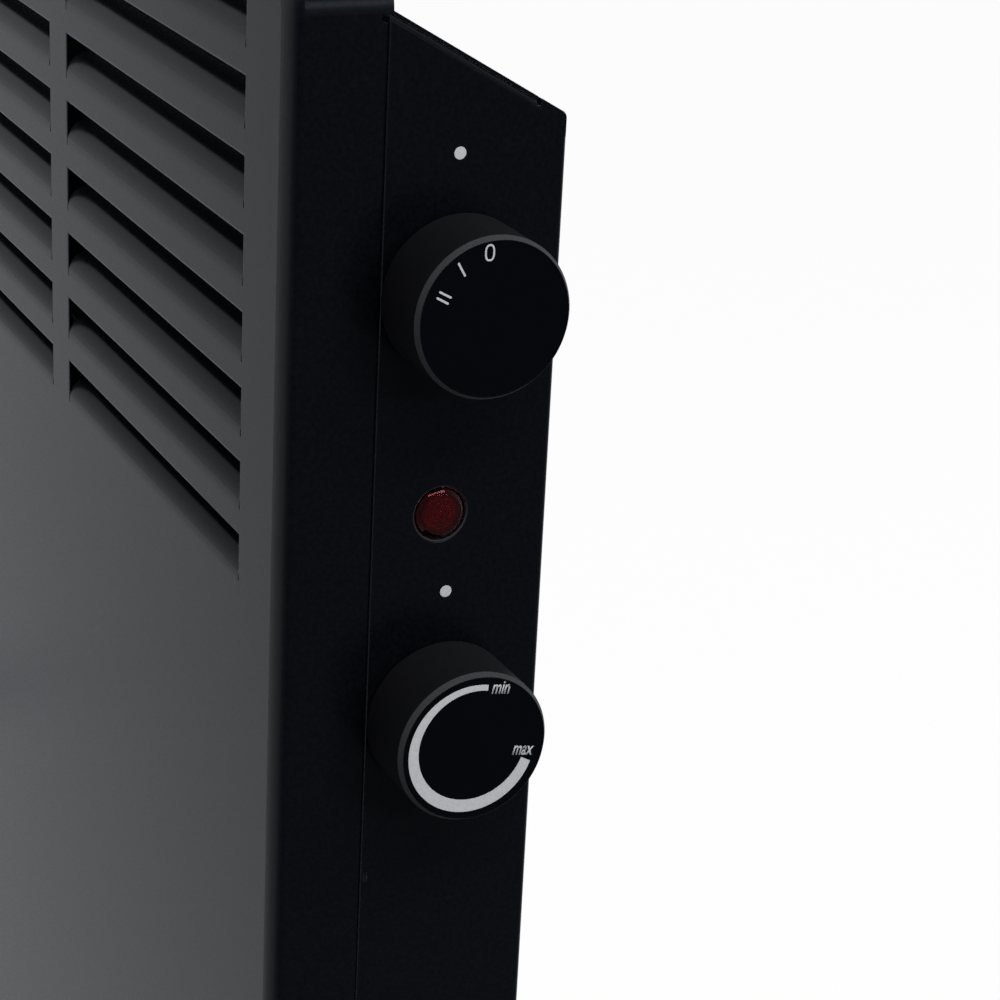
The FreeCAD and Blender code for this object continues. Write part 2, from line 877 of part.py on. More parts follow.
def plate_flange_holes(x):
    """The screw holes of a plate's rear flange."""
    return [rod_y(x, back_inner_y - 2 * sheet, back_inner_y + over, z, case_screw_radius + screw_gap)
            for z in plate_screw_levels()]


def control_partition():
    """The wall between the hot side and the control compartment."""
    front = plate_front_y()
    top_rear = slope_z(back_inner_y) - 2 * bend_radius - sheet_rise
    shoulder = seam_y + control_setback
    top = slope_z(shoulder) - 2 * bend_radius - sheet_rise
    wall = prism_x([(front, floor_z), (back_inner_y, floor_z), (back_inner_y, top_rear), (shoulder, top),
                    (front, top)],
                   partition_x - sheet, partition_x)
    rear = box(partition_x - sheet, partition_x + plate_flange, back_inner_y - sheet, back_inner_y, floor_z,
               top_rear)
    foot = box(partition_x - sheet, partition_x + plate_flange, front, back_inner_y, floor_z,
               floor_z + sheet)
    y, z = cutout_middle()
    holes = plate_holes(partition_x) + plate_flange_holes(partition_x + plate_flange / 2)
    holes.append(rod_x(partition_x - 2 * sheet, partition_x + sheet, y, z, cutout_radius + insulator_gap))
    for side in (-cutout_screw_offset, cutout_screw_offset):
        holes.append(rod_x(partition_x - 2 * sheet, partition_x + sheet, y + side, z,
                           small_screw_radius + screw_gap))
    return join([wall, rear, foot]).cut(holes)


def left_element_bracket():
    """The plate that carries the left ends of the heating elements."""
    front = plate_front_y()
    top = bottom_z + bracket_height
    wall = box(bracket_x, bracket_x + sheet, front, back_inner_y, floor_z, top)
    rear = box(bracket_x - plate_flange, bracket_x + sheet, back_inner_y - sheet, back_inner_y, floor_z,
               top)
    foot = box(bracket_x - plate_flange, bracket_x + sheet, front, back_inner_y, floor_z, floor_z + sheet)
    holes = plate_holes(bracket_x) + plate_flange_holes(bracket_x - plate_flange / 2)
    return join([wall, rear, foot]).cut(holes)


def heat_shield():
    """A bright sheet that keeps the heat off the back panel, on two tabs."""
    x0 = bracket_x + sheet + shield_end_gap
    x1 = partition_x - sheet - shield_end_gap
    low = bottom_z + shield_bottom
    high = low + shield_height
    shield = join([
        box(x0, x1, shield_y, shield_y + shield_sheet, low, high),
        box(x0, x1, shield_y, back_inner_y, low, low + shield_sheet),
        box(x0, x1, shield_y, back_inner_y, high - shield_sheet, high),
        box(x0, x1, back_inner_y - shield_sheet, back_inner_y, low - shield_tab, low + shield_sheet),
        box(x0, x1, back_inner_y - shield_sheet, back_inner_y, high - shield_sheet, high + shield_tab),
    ])
    holes = [rod_y(x, back_inner_y - 2 * shield_sheet, back_inner_y + over, z, rivet_radius + wire_gap)
             for x, z in rivet_places()]
    return shield.cut(holes)


def shield_rivets():
    """Dome rivets through the back panel and the shield's tabs."""
    rivets = []
    for x, z in rivet_places():
        head = rod_y(x, back_outer_y, back_outer_y + rivet_head_height, z, rivet_head_radius)
        crown = edges_in_plane(head, Y_AXIS, back_outer_y + rivet_head_height)
        head = head.makeFillet(rivet_head_height * rivet_crown, crown)
        shank = rod_y(x, back_inner_y - 3 * shield_sheet, back_outer_y, z, rivet_radius)
        rivets.append(join([head, shank]))
    return Part.makeCompound(rivets)


def element_fins(z):
    """An aluminium extrusion with radial fins round a core that takes the heating rod."""
    x0 = bracket_x + sheet + element_end_gap
    x1 = partition_x - sheet - element_end_gap
    half = element_fin_thickness / 2
    fins = [
        rod_x(x0, x1, element_y, z, element_core_radius),
        box(x0, x1, element_y - half, element_y + half, z - element_fin_upright, z + element_fin_upright),
        box(x0, x1, element_y - element_fin_level, element_y + element_fin_level, z - half, z + half),
    ]
    for turn in (-element_fin_angle, element_fin_angle):
        fin = box(x0, x1, element_y - half, element_y + half, z - element_fin_slant, z + element_fin_slant)
        fins.append(fin.rotate(Vector(0, element_y, z), X_AXIS, turn))
    return join(fins).cut(rod_x(x0 - over, x1 + over, element_y, z, element_rod_radius + rod_gap))


def element_rod(z):
    """The sheathed heating rod of one element, from bracket to partition."""
    return rod_x(bracket_x - rod_reach, partition_x + rod_reach, element_y, z, element_rod_radius)


def insulator(x, side, z):
    """A ceramic bush in a plate, its flange on the element's side."""
    flange = Part.makeCylinder(insulator_flange_radius, insulator_flange, Vector(x, element_y, z),
                               X_AXIS * -side)
    nose = Part.makeCylinder(insulator_radius, sheet + insulator_nose, Vector(x, element_y, z),
                             X_AXIS * side)
    span = insulator_flange + insulator_nose + sheet + over
    bore = rod_x(x - span, x + span, element_y, z, element_rod_radius + insulator_gap)
    return join([flange, nose]).cut(bore)


def element_insulators():
    """The four bushes that carry the heating rods."""
    bushes = []
    for z in element_heights():
        bushes.append(insulator(bracket_x + sheet, -1, z))
        bushes.append(insulator(partition_x - sheet, 1, z))
    return Part.makeCompound(bushes)


def element_tab_starts():
    """Where the flat terminals start on the ends of the rods, with their directions."""
    starts = []
    for z in element_heights():
        starts.append((Vector(bracket_x - rod_reach, element_y, z), -X_AXIS))
        starts.append((Vector(partition_x + rod_reach, element_y, z), X_AXIS))
    return starts


def element_tabs():
    """Flat terminals on the ends of the heating rods."""
    return Part.makeCompound([bar(start, way, Z_AXIS, tab_length, tab_width, tab_thickness)
                              for start, way in element_tab_starts()])


def link_x():
    """The outer face of the link between the left terminals."""
    return bracket_x - rod_reach - tab_length / 2


def link_end():
    """The end of the link's own terminal, under the lower element."""
    low = element_heights()[0] - tab_width
    return Vector(link_x() + tab_thickness / 2, element_y, low - tab_length)


def element_link():
    """A brass strip that joins the two left terminals and hangs down into a terminal of its own."""
    low, high = element_heights()
    x0 = link_x()
    strip = box(x0, x0 + tab_thickness, element_y - connector_width / 2, element_y + connector_width / 2,
                low - tab_width, high + tab_width)
    end = link_end()
    tail = box(x0, x0 + tab_thickness, element_y - tab_width / 2, element_y + tab_width / 2, end.z, low)
    slots = []
    for z in (low, high):
        half = tab_thickness / 2 + wire_gap
        rise = tab_width / 2 + wire_gap
        slots.append(box(x0 - over, x0 + tab_thickness + over, element_y - half, element_y + half, z - rise,
                         z + rise))
    return join([strip, tail]).cut(slots)


def d_bar(x0, x1, flat_x, y, z):
    """A round shaft whose outer end has a flat."""
    shaft = rod_x(x0, x1, y, z, shaft_radius)
    flat = box(flat_x, x1 + over, y - shaft_radius, y + shaft_radius, z + shaft_radius - shaft_flat,
               z + 2 * shaft_radius)
    return shaft.cut(flat)


def knob(z):
    """A hollow moulded knob with a bevelled rim, ribs and a hub for a flatted shaft."""
    base = body_right + knob_gap
    rim = body_right + knob_height - knob_bevel
    face = body_right + knob_height
    bevel = Part.makeCone(knob_radius, knob_face_radius, knob_bevel, Vector(rim, control_y, z), X_AXIS)
    shell = join([rod_x(base, rim, control_y, z, knob_radius), bevel])
    edges = edges_in_plane(shell, X_AXIS, rim) + edges_in_plane(shell, X_AXIS, face)
    shell = shell.makeFillet(knob_edge_radius, [e for e in edges if isinstance(e.Curve, Part.Circle)])
    ceiling = rim - knob_wall / 2
    dish = rod_x(face - knob_face_recess, face + over, control_y, z, knob_face_radius - knob_face_margin)
    shell = shell.cut([rod_x(base - over, ceiling, control_y, z, knob_radius - knob_wall), dish])
    hub = rod_x(body_right + hub_recess, ceiling, control_y, z, hub_radius)
    half = knob_rib / 2
    inside = knob_radius - knob_wall / 2
    rib_x = body_right + knob_rib_recess
    ribs = [
        box(rib_x, ceiling, control_y - half, control_y + half, z - inside, z + inside),
        box(rib_x, ceiling, control_y - inside, control_y + inside, z - half, z + half),
    ]
    body = join([shell, hub] + ribs)
    bore_end = body_right + shaft_reach + press_gap
    bore = rod_x(base - over, bore_end, control_y, z, shaft_radius + press_gap)
    flat = z + shaft_radius - shaft_flat + press_gap
    key = box(body_right + shaft_reach - shaft_flat_length, bore_end + over, control_y - hub_radius,
              control_y + hub_radius, flat, z + hub_radius)
    slot_half = clip_width / 2 + press_gap
    clip_slot = box(body_right + hub_recess - over, bore_end, control_y - slot_half, control_y + slot_half,
                    flat - press_gap, flat + clip_thickness + press_gap)
    return body.cut([bore.cut(key), clip_slot])


def knob_clip(z):
    """The spring strip that holds a knob on its shaft's flat."""
    flat = z + shaft_radius - shaft_flat + press_gap
    end = body_right + shaft_reach
    return box(end - clip_length, end, control_y - clip_width / 2, control_y + clip_width / 2, flat,
               flat + clip_thickness)


def selector_faces():
    """The X of the switch body's front face, its back face and the cover's back face."""
    front = inner_right - yoke_thickness
    back = front - selector_depth
    return front, back, back - selector_cover_depth


def selector_block(x0, x1):
    """A slice of the switch's outer form."""
    block = box(x0, x1, control_y - selector_width / 2, control_y + selector_width / 2,
                selector_z - selector_height / 2, selector_z + selector_height / 2)
    return block.makeFillet(side_corner_radius, edges_along(block, X_AXIS))


def selector_shaft():
    """The selector's shaft, from the cover to the knob."""
    return d_bar(selector_faces()[2], body_right + shaft_reach,
                 body_right + shaft_reach - shaft_flat_length, control_y, selector_z)


def selector_cam():
    """The notched cam that works the switch's contacts."""
    front, back, cover = selector_faces()
    x0 = back + (selector_depth - selector_front_wall - cam_length) / 2
    cam = rod_x(x0, x0 + cam_length, control_y, selector_z, cam_radius)
    cuts = [rod_x(x0 - over, x0 + cam_length + over, control_y, selector_z, shaft_radius + press_gap)]
    for step in range(selector_stages):
        turn = math.radians(90 + stage_angle * step)
        cuts.append(rod_x(x0 - over, x0 + cam_length + over, control_y + cam_radius * math.cos(turn),
                          selector_z + cam_radius * math.sin(turn), cam_notch_radius))
    return cam.cut(cuts)


def selector_body():
    """The switch's moulded housing, open at its back."""
    front, back, cover = selector_faces()
    pocket = rod_x(back - over, front - selector_front_wall, control_y, selector_z, selector_pocket_radius)
    bore = rod_x(back - over, front + over, control_y, selector_z, shaft_radius + running_gap)
    holes = [rod_x(front - screw_hole_depth, front + over, y, z, small_screw_radius + screw_gap)
             for y, z in selector_screw_places()]
    return selector_block(back, front).cut([pocket, bore] + holes)


def selector_tab_middles():
    """The Y and Z of the switch's terminals: supply, first stage and second stage."""
    return [(control_y, selector_z + selector_tab_rise),
            (control_y - selector_tab_side, selector_z - selector_tab_fall),
            (control_y + selector_tab_side, selector_z - selector_tab_fall)]


def selector_cover():
    """The switch's back cover, slotted for the terminals."""
    front, back, cover = selector_faces()
    cuts = [rod_x(cover - over, back + over, control_y, selector_z, shaft_radius + running_gap)]
    for y, z in selector_tab_middles():
        cuts.append(bar(Vector(cover - over, y, z), X_AXIS, Y_AXIS, selector_cover_depth + 2 * over,
                        tab_width + 2 * wire_gap, tab_thickness + 2 * wire_gap))
    return selector_block(cover, back).cut(cuts)


def selector_tabs():
    """The switch's flat terminals, through its cover."""
    front, back, cover = selector_faces()
    return Part.makeCompound([bar(Vector(back, y, z), -X_AXIS, Y_AXIS, selector_cover_depth + tab_length,
                                  tab_width, tab_thickness) for y, z in selector_tab_middles()])


def selector_yoke():
    """The plate that the switch is screwed to the panel by."""
    x0 = inner_right - yoke_thickness
    plate = box(x0, inner_right, control_y - yoke_width / 2, control_y + yoke_width / 2,
                selector_z - yoke_height / 2, selector_z + yoke_height / 2)
    holes = [rod_x(x0 - over, inner_right + over, control_y, selector_z, shaft_radius + edge_gap)]
    for y, z in selector_screw_places():
        holes.append(rod_x(x0 - over, inner_right + over, y, z, small_screw_radius + screw_gap))
    return plate.cut(holes)


def stack_levels():
    """The X of the thermostat stack's faces, from the frame inwards."""
    faces = [inner_right - frame_thickness]
    for step in (ring_first, contact_blade_thickness, ring_middle, bimetal_thickness, ring_last):
        faces.append(faces[-1] - step)
    return faces


def stack_z():
    """The height of the stack's axis."""
    return thermostat_z - stack_fall


def thermostat_frame():
    """The thermostat's base plate, behind the side panel."""
    x0 = inner_right - frame_thickness
    plate = box(x0, inner_right, control_y - frame_width / 2, control_y + frame_width / 2,
                thermostat_z - frame_fall, thermostat_z + frame_rise)
    return plate.cut([rod_x(x0 - over, inner_right + over, control_y, thermostat_z,
                            bush_radius + screw_gap),
                      rod_x(x0 - over, inner_right + over, control_y, stack_z(), stack_hole_radius)])


def thermostat_bush():
    """The bush that the thermostat's shaft turns in."""
    frame = inner_right - frame_thickness
    flange = frame - bush_flange
    body = join([rod_x(flange - bush_tail, body_right + bush_nose, control_y, thermostat_z, bush_radius),
                 rod_x(flange, frame, control_y, thermostat_z, bush_flange_radius)])
    return body.cut(rod_x(flange - bush_tail - over, body_right + bush_nose + over, control_y, thermostat_z,
                          shaft_radius + running_gap))


def thermostat_nut():
    """The nut on the bush, under the knob."""
    nut = placed(hexagon(nut_flats, nut_height), Vector(body_right, control_y, thermostat_z), X_AXIS)
    return nut.cut(rod_x(body_right - over, body_right + nut_height + over, control_y, thermostat_z,
                         bush_radius + press_gap))


def thermostat_shaft():
    """The thermostat's spindle, whose inner end faces the contact blade."""
    return d_bar(stack_levels()[1] + blade_gap, body_right + shaft_reach,
                 body_right + shaft_reach - shaft_flat_length, control_y, thermostat_z)


def thermostat_insulators():
    """The ceramic rings of the stack."""
    faces = stack_levels()
    rings = []
    for outer, inner in ((0, 1), (2, 3), (4, 5)):
        ring = rod_x(faces[inner], faces[outer], control_y, stack_z(), stack_radius)
        rings.append(ring.cut(rod_x(faces[inner] - over, faces[outer] + over, control_y, stack_z(),
                                    stack_hole_radius)))
    return Part.makeCompound(rings)


def blade_tab_z():
    """The lower end of the blades' terminals."""
    return stack_z() - stack_radius - blade_margin - tab_length


def blade(x0, x1, contact_x):
    """A contact blade: a strip with a terminal below the stack and a contact button above it."""
    strip = box(x0, x1, control_y - blade_width / 2, control_y + blade_width / 2,
                stack_z() - stack_radius - blade_margin, thermostat_z + blade_rise)
    tab = box(x0, x1, control_y - tab_width / 2, control_y + tab_width / 2, blade_tab_z(), stack_z())
    low, high = sorted((contact_x, (x0 + x1) / 2))
    button = rod_x(low, high, control_y, thermostat_z + contact_radius / 2, contact_radius)
    return join([strip, tab, button]).cut(rod_x(x0 - over, x1 + over, control_y, stack_z(),
                                                stack_hole_radius))


def thermostat_contact_blade():
    """The spring blade that the spindle bears on."""
    faces = stack_levels()
    middle = (faces[2] + faces[3]) / 2
    return blade(faces[2], faces[1], middle + contact_split / 2)


def thermostat_bimetal():
    """The bimetal blade that opens the contact when the air is warm."""
    faces = stack_levels()
    middle = (faces[2] + faces[3]) / 2
    return blade(faces[4], faces[3], middle - contact_split / 2)


def thermostat_rivet():
    """The rivet through the stack."""
    last = stack_levels()[5]
    return join([rod_x(last, inner_right, control_y, stack_z(), stack_rivet_radius),
                 rod_x(last - stack_rivet_head, last, control_y, stack_z(), stack_rivet_head_radius)])


def lamp_lens():
    """The lamp's lens, put through the panel from behind."""
    face = body_right + lens_proud
    back = inner_right - lens_flange
    barrel = rod_x(inner_right, face, lamp_y, lamp_z, lens_radius)
    barrel = barrel.makeFillet(lens_shoulder, edges_in_plane(barrel, X_AXIS, face))
    flange = rod_x(back, inner_right, lamp_y, lamp_z, lens_flange_radius)
    return join([barrel, flange]).cut(rod_x(back - over, face - lens_face, lamp_y, lamp_z,
                                            lens_pocket_radius))


def lamp_faces():
    """The X of the lamp body's front, shoulder and tail."""
    front = inner_right - lens_flange
    shoulder = front - lamp_body_shoulder
    return front, shoulder, shoulder - lamp_tail


def lamp_body():
    """The lamp's holder, with a seat for the bulb."""
    front, shoulder, tail = lamp_faces()
    holder = join([rod_x(shoulder, front, lamp_y, lamp_z, lamp_body_radius),
                   rod_x(tail, shoulder, lamp_y, lamp_z, lamp_tail_radius)])
    seat = front - bulb_length
    mouth = rod_x(shoulder + lamp_floor, front + over, lamp_y, lamp_z, lens_pocket_radius)
    socket = rod_x(seat, front + over, lamp_y, lamp_z, bulb_radius + bulb_seat_gap)
    return holder.cut([mouth, socket])


def neon_bulb():
    """The small neon bulb in its holder."""
    front = lamp_faces()[0]
    bulb = rod_x(front - bulb_length, front, lamp_y, lamp_z, bulb_radius)
    return bulb.makeFillet(bulb_radius * bulb_crown, edges_in_plane(bulb, X_AXIS, front))


def lamp_bracket():
    """The strap that holds the lamp against the panel."""
    front, shoulder, tail = lamp_faces()
    leg = lens_flange_radius + edge_gap
    half = lamp_bracket_width / 2
    low = lamp_z - half
    high = lamp_z + half
    parts = [box(shoulder - lamp_bracket_sheet, shoulder, lamp_y - leg - lamp_bracket_sheet,
                 lamp_y + leg + lamp_bracket_sheet, low, high)]
    for side in (-1, 1):
        inner, outer = sorted((lamp_y + side * leg, lamp_y + side * (leg + lamp_bracket_sheet)))
        parts.append(box(shoulder - lamp_bracket_sheet, inner_right, inner, outer, low, high))
        near, far = sorted((lamp_y + side * leg, lamp_y + side * lamp_bracket_reach))
        parts.append(box(inner_right - lamp_bracket_sheet, inner_right, near, far, low, high))
    hole = rod_x(shoulder - over, shoulder + over, lamp_y, lamp_z, lamp_tail_radius + insulator_gap)
    return join(parts).cut(hole)


def cutout_cap_piece():
    """The cut-out's metal cap and mounting flange, its cup on the hot side."""
    y, z = cutout_middle()
    cup = rod_x(partition_x - sheet - cutout_cap, partition_x + cutout_flange, y, z, cutout_radius)
    flange = box(partition_x, partition_x + cutout_flange, y - cutout_flange_length / 2,
                 y + cutout_flange_length / 2, z - cutout_flange_width / 2, z + cutout_flange_width / 2)
    holes = [rod_x(partition_x - over, partition_x + cutout_flange + over, y + side, z,
                   small_screw_radius + screw_gap)
             for side in (-cutout_screw_offset, cutout_screw_offset)]
    return join([cup, flange]).cut(holes)


def cutout_body():
    """The cut-out's moulded body."""
    y, z = cutout_middle()
    x0 = partition_x + cutout_flange
    body = rod_x(x0, x0 + cutout_depth, y, z, cutout_radius)
    return body.makeFillet(side_corner_radius / 2, edges_in_plane(body, X_AXIS, x0 + cutout_depth))


def cutout_tab_starts():
    """Where the cut-out's terminals start, front then rear."""
    y, z = cutout_middle()
    x = partition_x + cutout_flange + cutout_depth
    return [Vector(x, y - cutout_tab_side, z), Vector(x, y + cutout_tab_side, z)]


def cutout_tabs():
    """The cut-out's flat terminals."""
    return Part.makeCompound([bar(start, X_AXIS, Z_AXIS, tab_length, tab_width, tab_thickness)
                              for start in cutout_tab_starts()])


def pole_places():
    """The mouths of the block's three poles, on its rear face: live, neutral and earth."""
    middle = block_middle()
    rear = middle.y + block_depth / 2
    return [Vector(middle.x + step * block_pole_pitch, rear, floor_z + block_pole_level)
            for step in (-1, 0, 1)]


def terminal_block():
    """The moulded block where the supply comes in."""
    middle = block_middle()
    top = floor_z + block_height
    block = box(middle.x - block_width / 2, middle.x + block_width / 2, middle.y - block_depth / 2,
                middle.y + block_depth / 2, floor_z + sheet, top)
    block = block.makeFillet(side_corner_radius / 2, edges_along(block, Z_AXIS))
    feet = box(middle.x - block_width / 4, middle.x + block_width / 4, middle.y - block_depth / 4,
               middle.y + block_depth / 4, floor_z, floor_z + 2 * sheet)
    holes = []
    for pole in pole_places():
        holes.append(rod_z(pole.x, middle.y, top - pole_screw_length, top + over,
                           pole_screw_radius + press_gap))
        holes.append(rod_y(pole.x, pole.y - block_depth - over, pole.y - block_depth * pole_entry, pole.z,
                           wire_radius + insulator_gap))
    for edge_x in (-0.5, 0.5):
        holes.append(box(middle.x + edge_x * block_pole_pitch - knob_rib / 2,
                         middle.x + edge_x * block_pole_pitch + knob_rib / 2,
                         middle.y - block_depth, middle.y + block_depth, top - 2 * knob_rib, top + over))
    return join([block, feet]).cut(holes)


def terminal_screws():
    """The slotted screws of the three poles."""
    middle = block_middle()
    top = floor_z + block_height
    screws = []
    for pole in pole_places():
        screw = rod_z(pole.x, middle.y, top - pole_screw_length, top - sheet, pole_screw_radius)
        slot = box(pole.x - pole_screw_radius, pole.x + pole_screw_radius, middle.y - sheet / 2,
                   middle.y + sheet / 2, top - 2 * sheet, top)
        screws.append(screw.cut(slot))
    return Part.makeCompound(screws)


def earth_barrel():
    """The start and end of the ring terminal's barrel."""
    place = earth_place()
    start = place + Vector(0, sheet - earth_ring_radius, sheet / 2 + earth_barrel_radius)
    return start, start - Vector(0, earth_barrel_length, 0)


def earth_stud():
    """The earth screw with its ring terminal and nut, one clamped stack."""
    place = earth_place()
    under = Vector(place.x, place.y, bottom_z + sheet)
    screw = placed(pan_screw(case_screw_radius, 2 * case_screw_length, case_screw_head_radius,
                             case_screw_head_height),
                   under, Z_AXIS)
    ring = rod_z(place.x, place.y, floor_z, floor_z + sheet, earth_ring_radius)
    nut = placed(hexagon(2 * case_screw_head_radius, nut_height), Vector(place.x, place.y, floor_z + sheet),
                 Z_AXIS)
    start, end = earth_barrel()
    barrel = rod_y(start.x, end.y, start.y, start.z, earth_barrel_radius)
    return join([screw, ring, nut, barrel])


def cord_gland():
    """The bush in the bottom plate that the mains cord would come in by."""
    place = gland_place()
    under = bottom_z + sheet
    top = floor_z + gland_collar
    flange = rod_z(place.x, place.y, under - gland_flange, under, gland_flange_radius)
    flange = flange.makeFillet(gland_flange / 3, edges_in_plane(flange, Z_AXIS, under - gland_flange))
    body = join([flange, rod_z(place.x, place.y, under, floor_z, gland_neck_radius),
                 rod_z(place.x, place.y, floor_z, top, gland_collar_radius),
                 rod_z(place.x, place.y, top, top + gland_top, gland_top_radius)])
    return body.cut(rod_z(place.x, place.y, under - gland_flange - over, top + gland_top + over,
                          gland_bore_radius))


def connector(tab_end, way, wide):
    """An insulated push-on connector over the end of a flat terminal."""
    start = tab_end - way * connector_overlap
    sleeve = bar(start, way, wide, 2 * connector_overlap, connector_width, connector_thickness)
    slot = bar(start - way * over, way, wide, connector_overlap + over, tab_width + 2 * connector_gap,
               tab_thickness + 2 * connector_gap)
    return sleeve.cut(slot)


def selector_tab_ends():
    """The free ends of the switch's terminals."""
    x = selector_faces()[2] - tab_length
    return [Vector(x, y, z) for y, z in selector_tab_middles()]


def blade_tab_ends():
    """The free ends of the thermostat's terminals: contact blade, then bimetal."""
    faces = stack_levels()
    return [Vector((faces[1] + faces[2]) / 2, control_y, blade_tab_z()),
            Vector((faces[3] + faces[4]) / 2, control_y, blade_tab_z())]


def element_tab_ends():
    """The free ends of the right terminals of the elements, lower then upper."""
    return [start + way * tab_length for start, way in element_tab_starts() if way.x > 0]


def cutout_tab_ends():
    """The free ends of the cut-out's terminals."""
    return [start + X_AXIS * tab_length for start in cutout_tab_starts()]


def spade_connectors():
    """Every push-on connector in the control compartment, and the one at the link."""
    sleeves = [connector(end, -X_AXIS, Y_AXIS) for end in selector_tab_ends()]
    sleeves += [connector(end, -Z_AXIS, Y_AXIS) for end in blade_tab_ends()]
    sleeves += [connector(end, X_AXIS, Z_AXIS) for end in element_tab_ends() + cutout_tab_ends()]
    sleeves.append(connector(link_end(), -Z_AXIS, Y_AXIS))
    return Part.makeCompound(sleeves)


def past(tab_end, way):
    """The point where a wire leaves a connector."""
    return tab_end + way * connector_overlap


# Lanes for the wires in the control compartment
lane_step = 3 * wire_radius
near_x = partition_x + plate_flange - 2 * wire_radius
front_lane_y = plate_front_y() + 2 * lane_step


def live_wire():
    """From the live pole, up the front of the compartment, to the selector."""
    pole = pole_places()[0]
    end = past(selector_tab_ends()[0], -X_AXIS)
    turn = pole.y + 2 * wire_bend
    return cable([pole, Vector(pole.x, turn, pole.z), Vector(pole.x, turn, pole.z + 3 * wire_bend),
                  Vector(near_x, front_lane_y, pole.z + 8 * wire_bend), Vector(near_x, front_lane_y, end.z),
                  Vector(near_x, end.y, end.z), end], wire_radius)


def neutral_wire():
    """From the neutral pole to the thermostat's contact blade."""
    pole = pole_places()[1]
    end = past(blade_tab_ends()[0], -Z_AXIS)
    turn = pole.y + 2 * wire_bend
    return cable([pole, Vector(pole.x, turn, pole.z), Vector(pole.x, turn, pole.z + 14 * wire_bend),
                  Vector(end.x, end.y, end.z - 6 * wire_bend), end], wire_radius)


def heat_wires():
    """From the selector's two stages to the two elements."""
    low, high = [past(end, X_AXIS) for end in element_tab_ends()]
    first, second = [past(end, -X_AXIS) for end in selector_tab_ends()[1:]]
    turn_z = first.z - 4 * wire_bend
    step = Vector(0, -lead_side / 2, 0)
    low_x = low.x + 2 * wire_bend
    low_y = front_lane_y + lane_step
    lower = cable([low, Vector(low_x, low.y, low.z), Vector(low_x, low_y, low.z + 2 * wire_bend),
                   Vector(low_x, low_y, turn_z), Vector(near_x, low_y, turn_z),
                   Vector(near_x, first.y, first.z) + step, first + step], wire_radius)
    high_x = high.x + wire_bend
    high_y = second.y + wire_bend
    upper = cable([high, Vector(high_x, high.y, high.z), Vector(high_x, high_y, high.z),
                   Vector(high_x, high_y, turn_z), Vector(near_x, high_y, turn_z),
                   Vector(near_x, second.y, second.z), second], wire_radius)
    return Part.makeCompound([lower, upper])


def thermostat_wire():
    """From the thermostat's bimetal to the thermal cut-out."""
    start = past(blade_tab_ends()[1], -Z_AXIS) - Vector(0, lead_side, 0)
    end = past(cutout_tab_ends()[1], X_AXIS)
    low = start.z - 2 * wire_bend
    turn_x = end.x + 2 * wire_bend
    return cable([start, Vector(start.x, start.y, low), Vector(turn_x, end.y, low),
                  Vector(turn_x, end.y, end.z), end], wire_radius)


def return_wire():
    """From the cut-out, along the back panel, to the link at the elements' left ends."""
    start = past(cutout_tab_ends()[0], X_AXIS)
    end = past(link_end(), -Z_AXIS)
    lane_y, lane_z = wire_lane()
    x = start.x + 1.5 * wire_bend
    return cable([start, Vector(x, start.y, start.z), Vector(x, start.y, lane_z), Vector(x, lane_y, lane_z),
                  Vector(end.x, lane_y, lane_z), Vector(end.x, end.y, lane_z), end], wire_radius)


def earth_wire():
    """From the earth pole to the earth stud."""
    pole = pole_places()[2]
    end = earth_barrel()[1]
    return cable([pole, Vector(pole.x, pole.y + wire_bend, pole.z), Vector(end.x, end.y - wire_bend, end.z),
                  end], wire_radius)


def lamp_leads():
    """The lamp's two thin leads, to the selector's first stage and to the thermostat."""
    tail = lamp_faces()[2]
    first = past(selector_tab_ends()[1], -X_AXIS) + Vector(0, lead_side, 0)
    second = past(blade_tab_ends()[1], -Z_AXIS) + Vector(0, lead_side, 0)
    near = first.x - wire_bend
    up = cable([Vector(tail, lamp_y - lead_side, lamp_z),
                Vector(tail - 2 * wire_bend, lamp_y - lead_side, lamp_z),
                Vector(near, lamp_y - lead_side, first.z - 3 * wire_bend),
                Vector(near, first.y, first.z), first], lead_radius)
    out = tail - 1.5 * wire_bend
    low = second.z - 2 * wire_bend
    down = cable([Vector(tail, lamp_y + lead_side, lamp_z), Vector(out, lamp_y + lead_side, lamp_z),
                  Vector(out, second.y + wire_bend, low),
                  Vector(second.x, second.y, low), second], lead_radius)
    return Part.makeCompound([up, down])


def wire_clips():
    """Clips on the back panel that hold the return wire."""
    lane_y, lane_z = wire_lane()
    half = clip_block / 2
    clips = []
    for step in range(clip_count):
        x = bracket_x + (partition_x - bracket_x) * (step + 1) / (clip_count + 1)
        clip = box(x - half, x + half, lane_y - 2 * wire_radius, back_inner_y, lane_z - half, lane_z + half)
        clips.append(clip.cut(rod_x(x - clip_block, x + clip_block, lane_y, lane_z,
                                    wire_radius + wire_gap)))
    return Part.makeCompound(clips)


def case_screws():
    """The identical screws of the back panel, the inner plates and the tray."""
    pattern = pan_screw(case_screw_radius, case_screw_length, case_screw_head_radius,
                        case_screw_head_height)
    screws = []
    for x in (body_left + side_screw_inset, body_right - side_screw_inset):
        for z in side_screw_levels():
            screws.append(placed(pattern, Vector(x, rear_y, z), -Y_AXIS))
    for x in (bracket_x - plate_flange / 2, partition_x + plate_flange / 2):
        for z in plate_screw_levels():
            screws.append(placed(pattern, Vector(x, back_outer_y, z), -Y_AXIS))
    for place in tray_screw_places():
        screws.append(placed(pattern, place, Z_AXIS))
    return Part.makeCompound(screws)


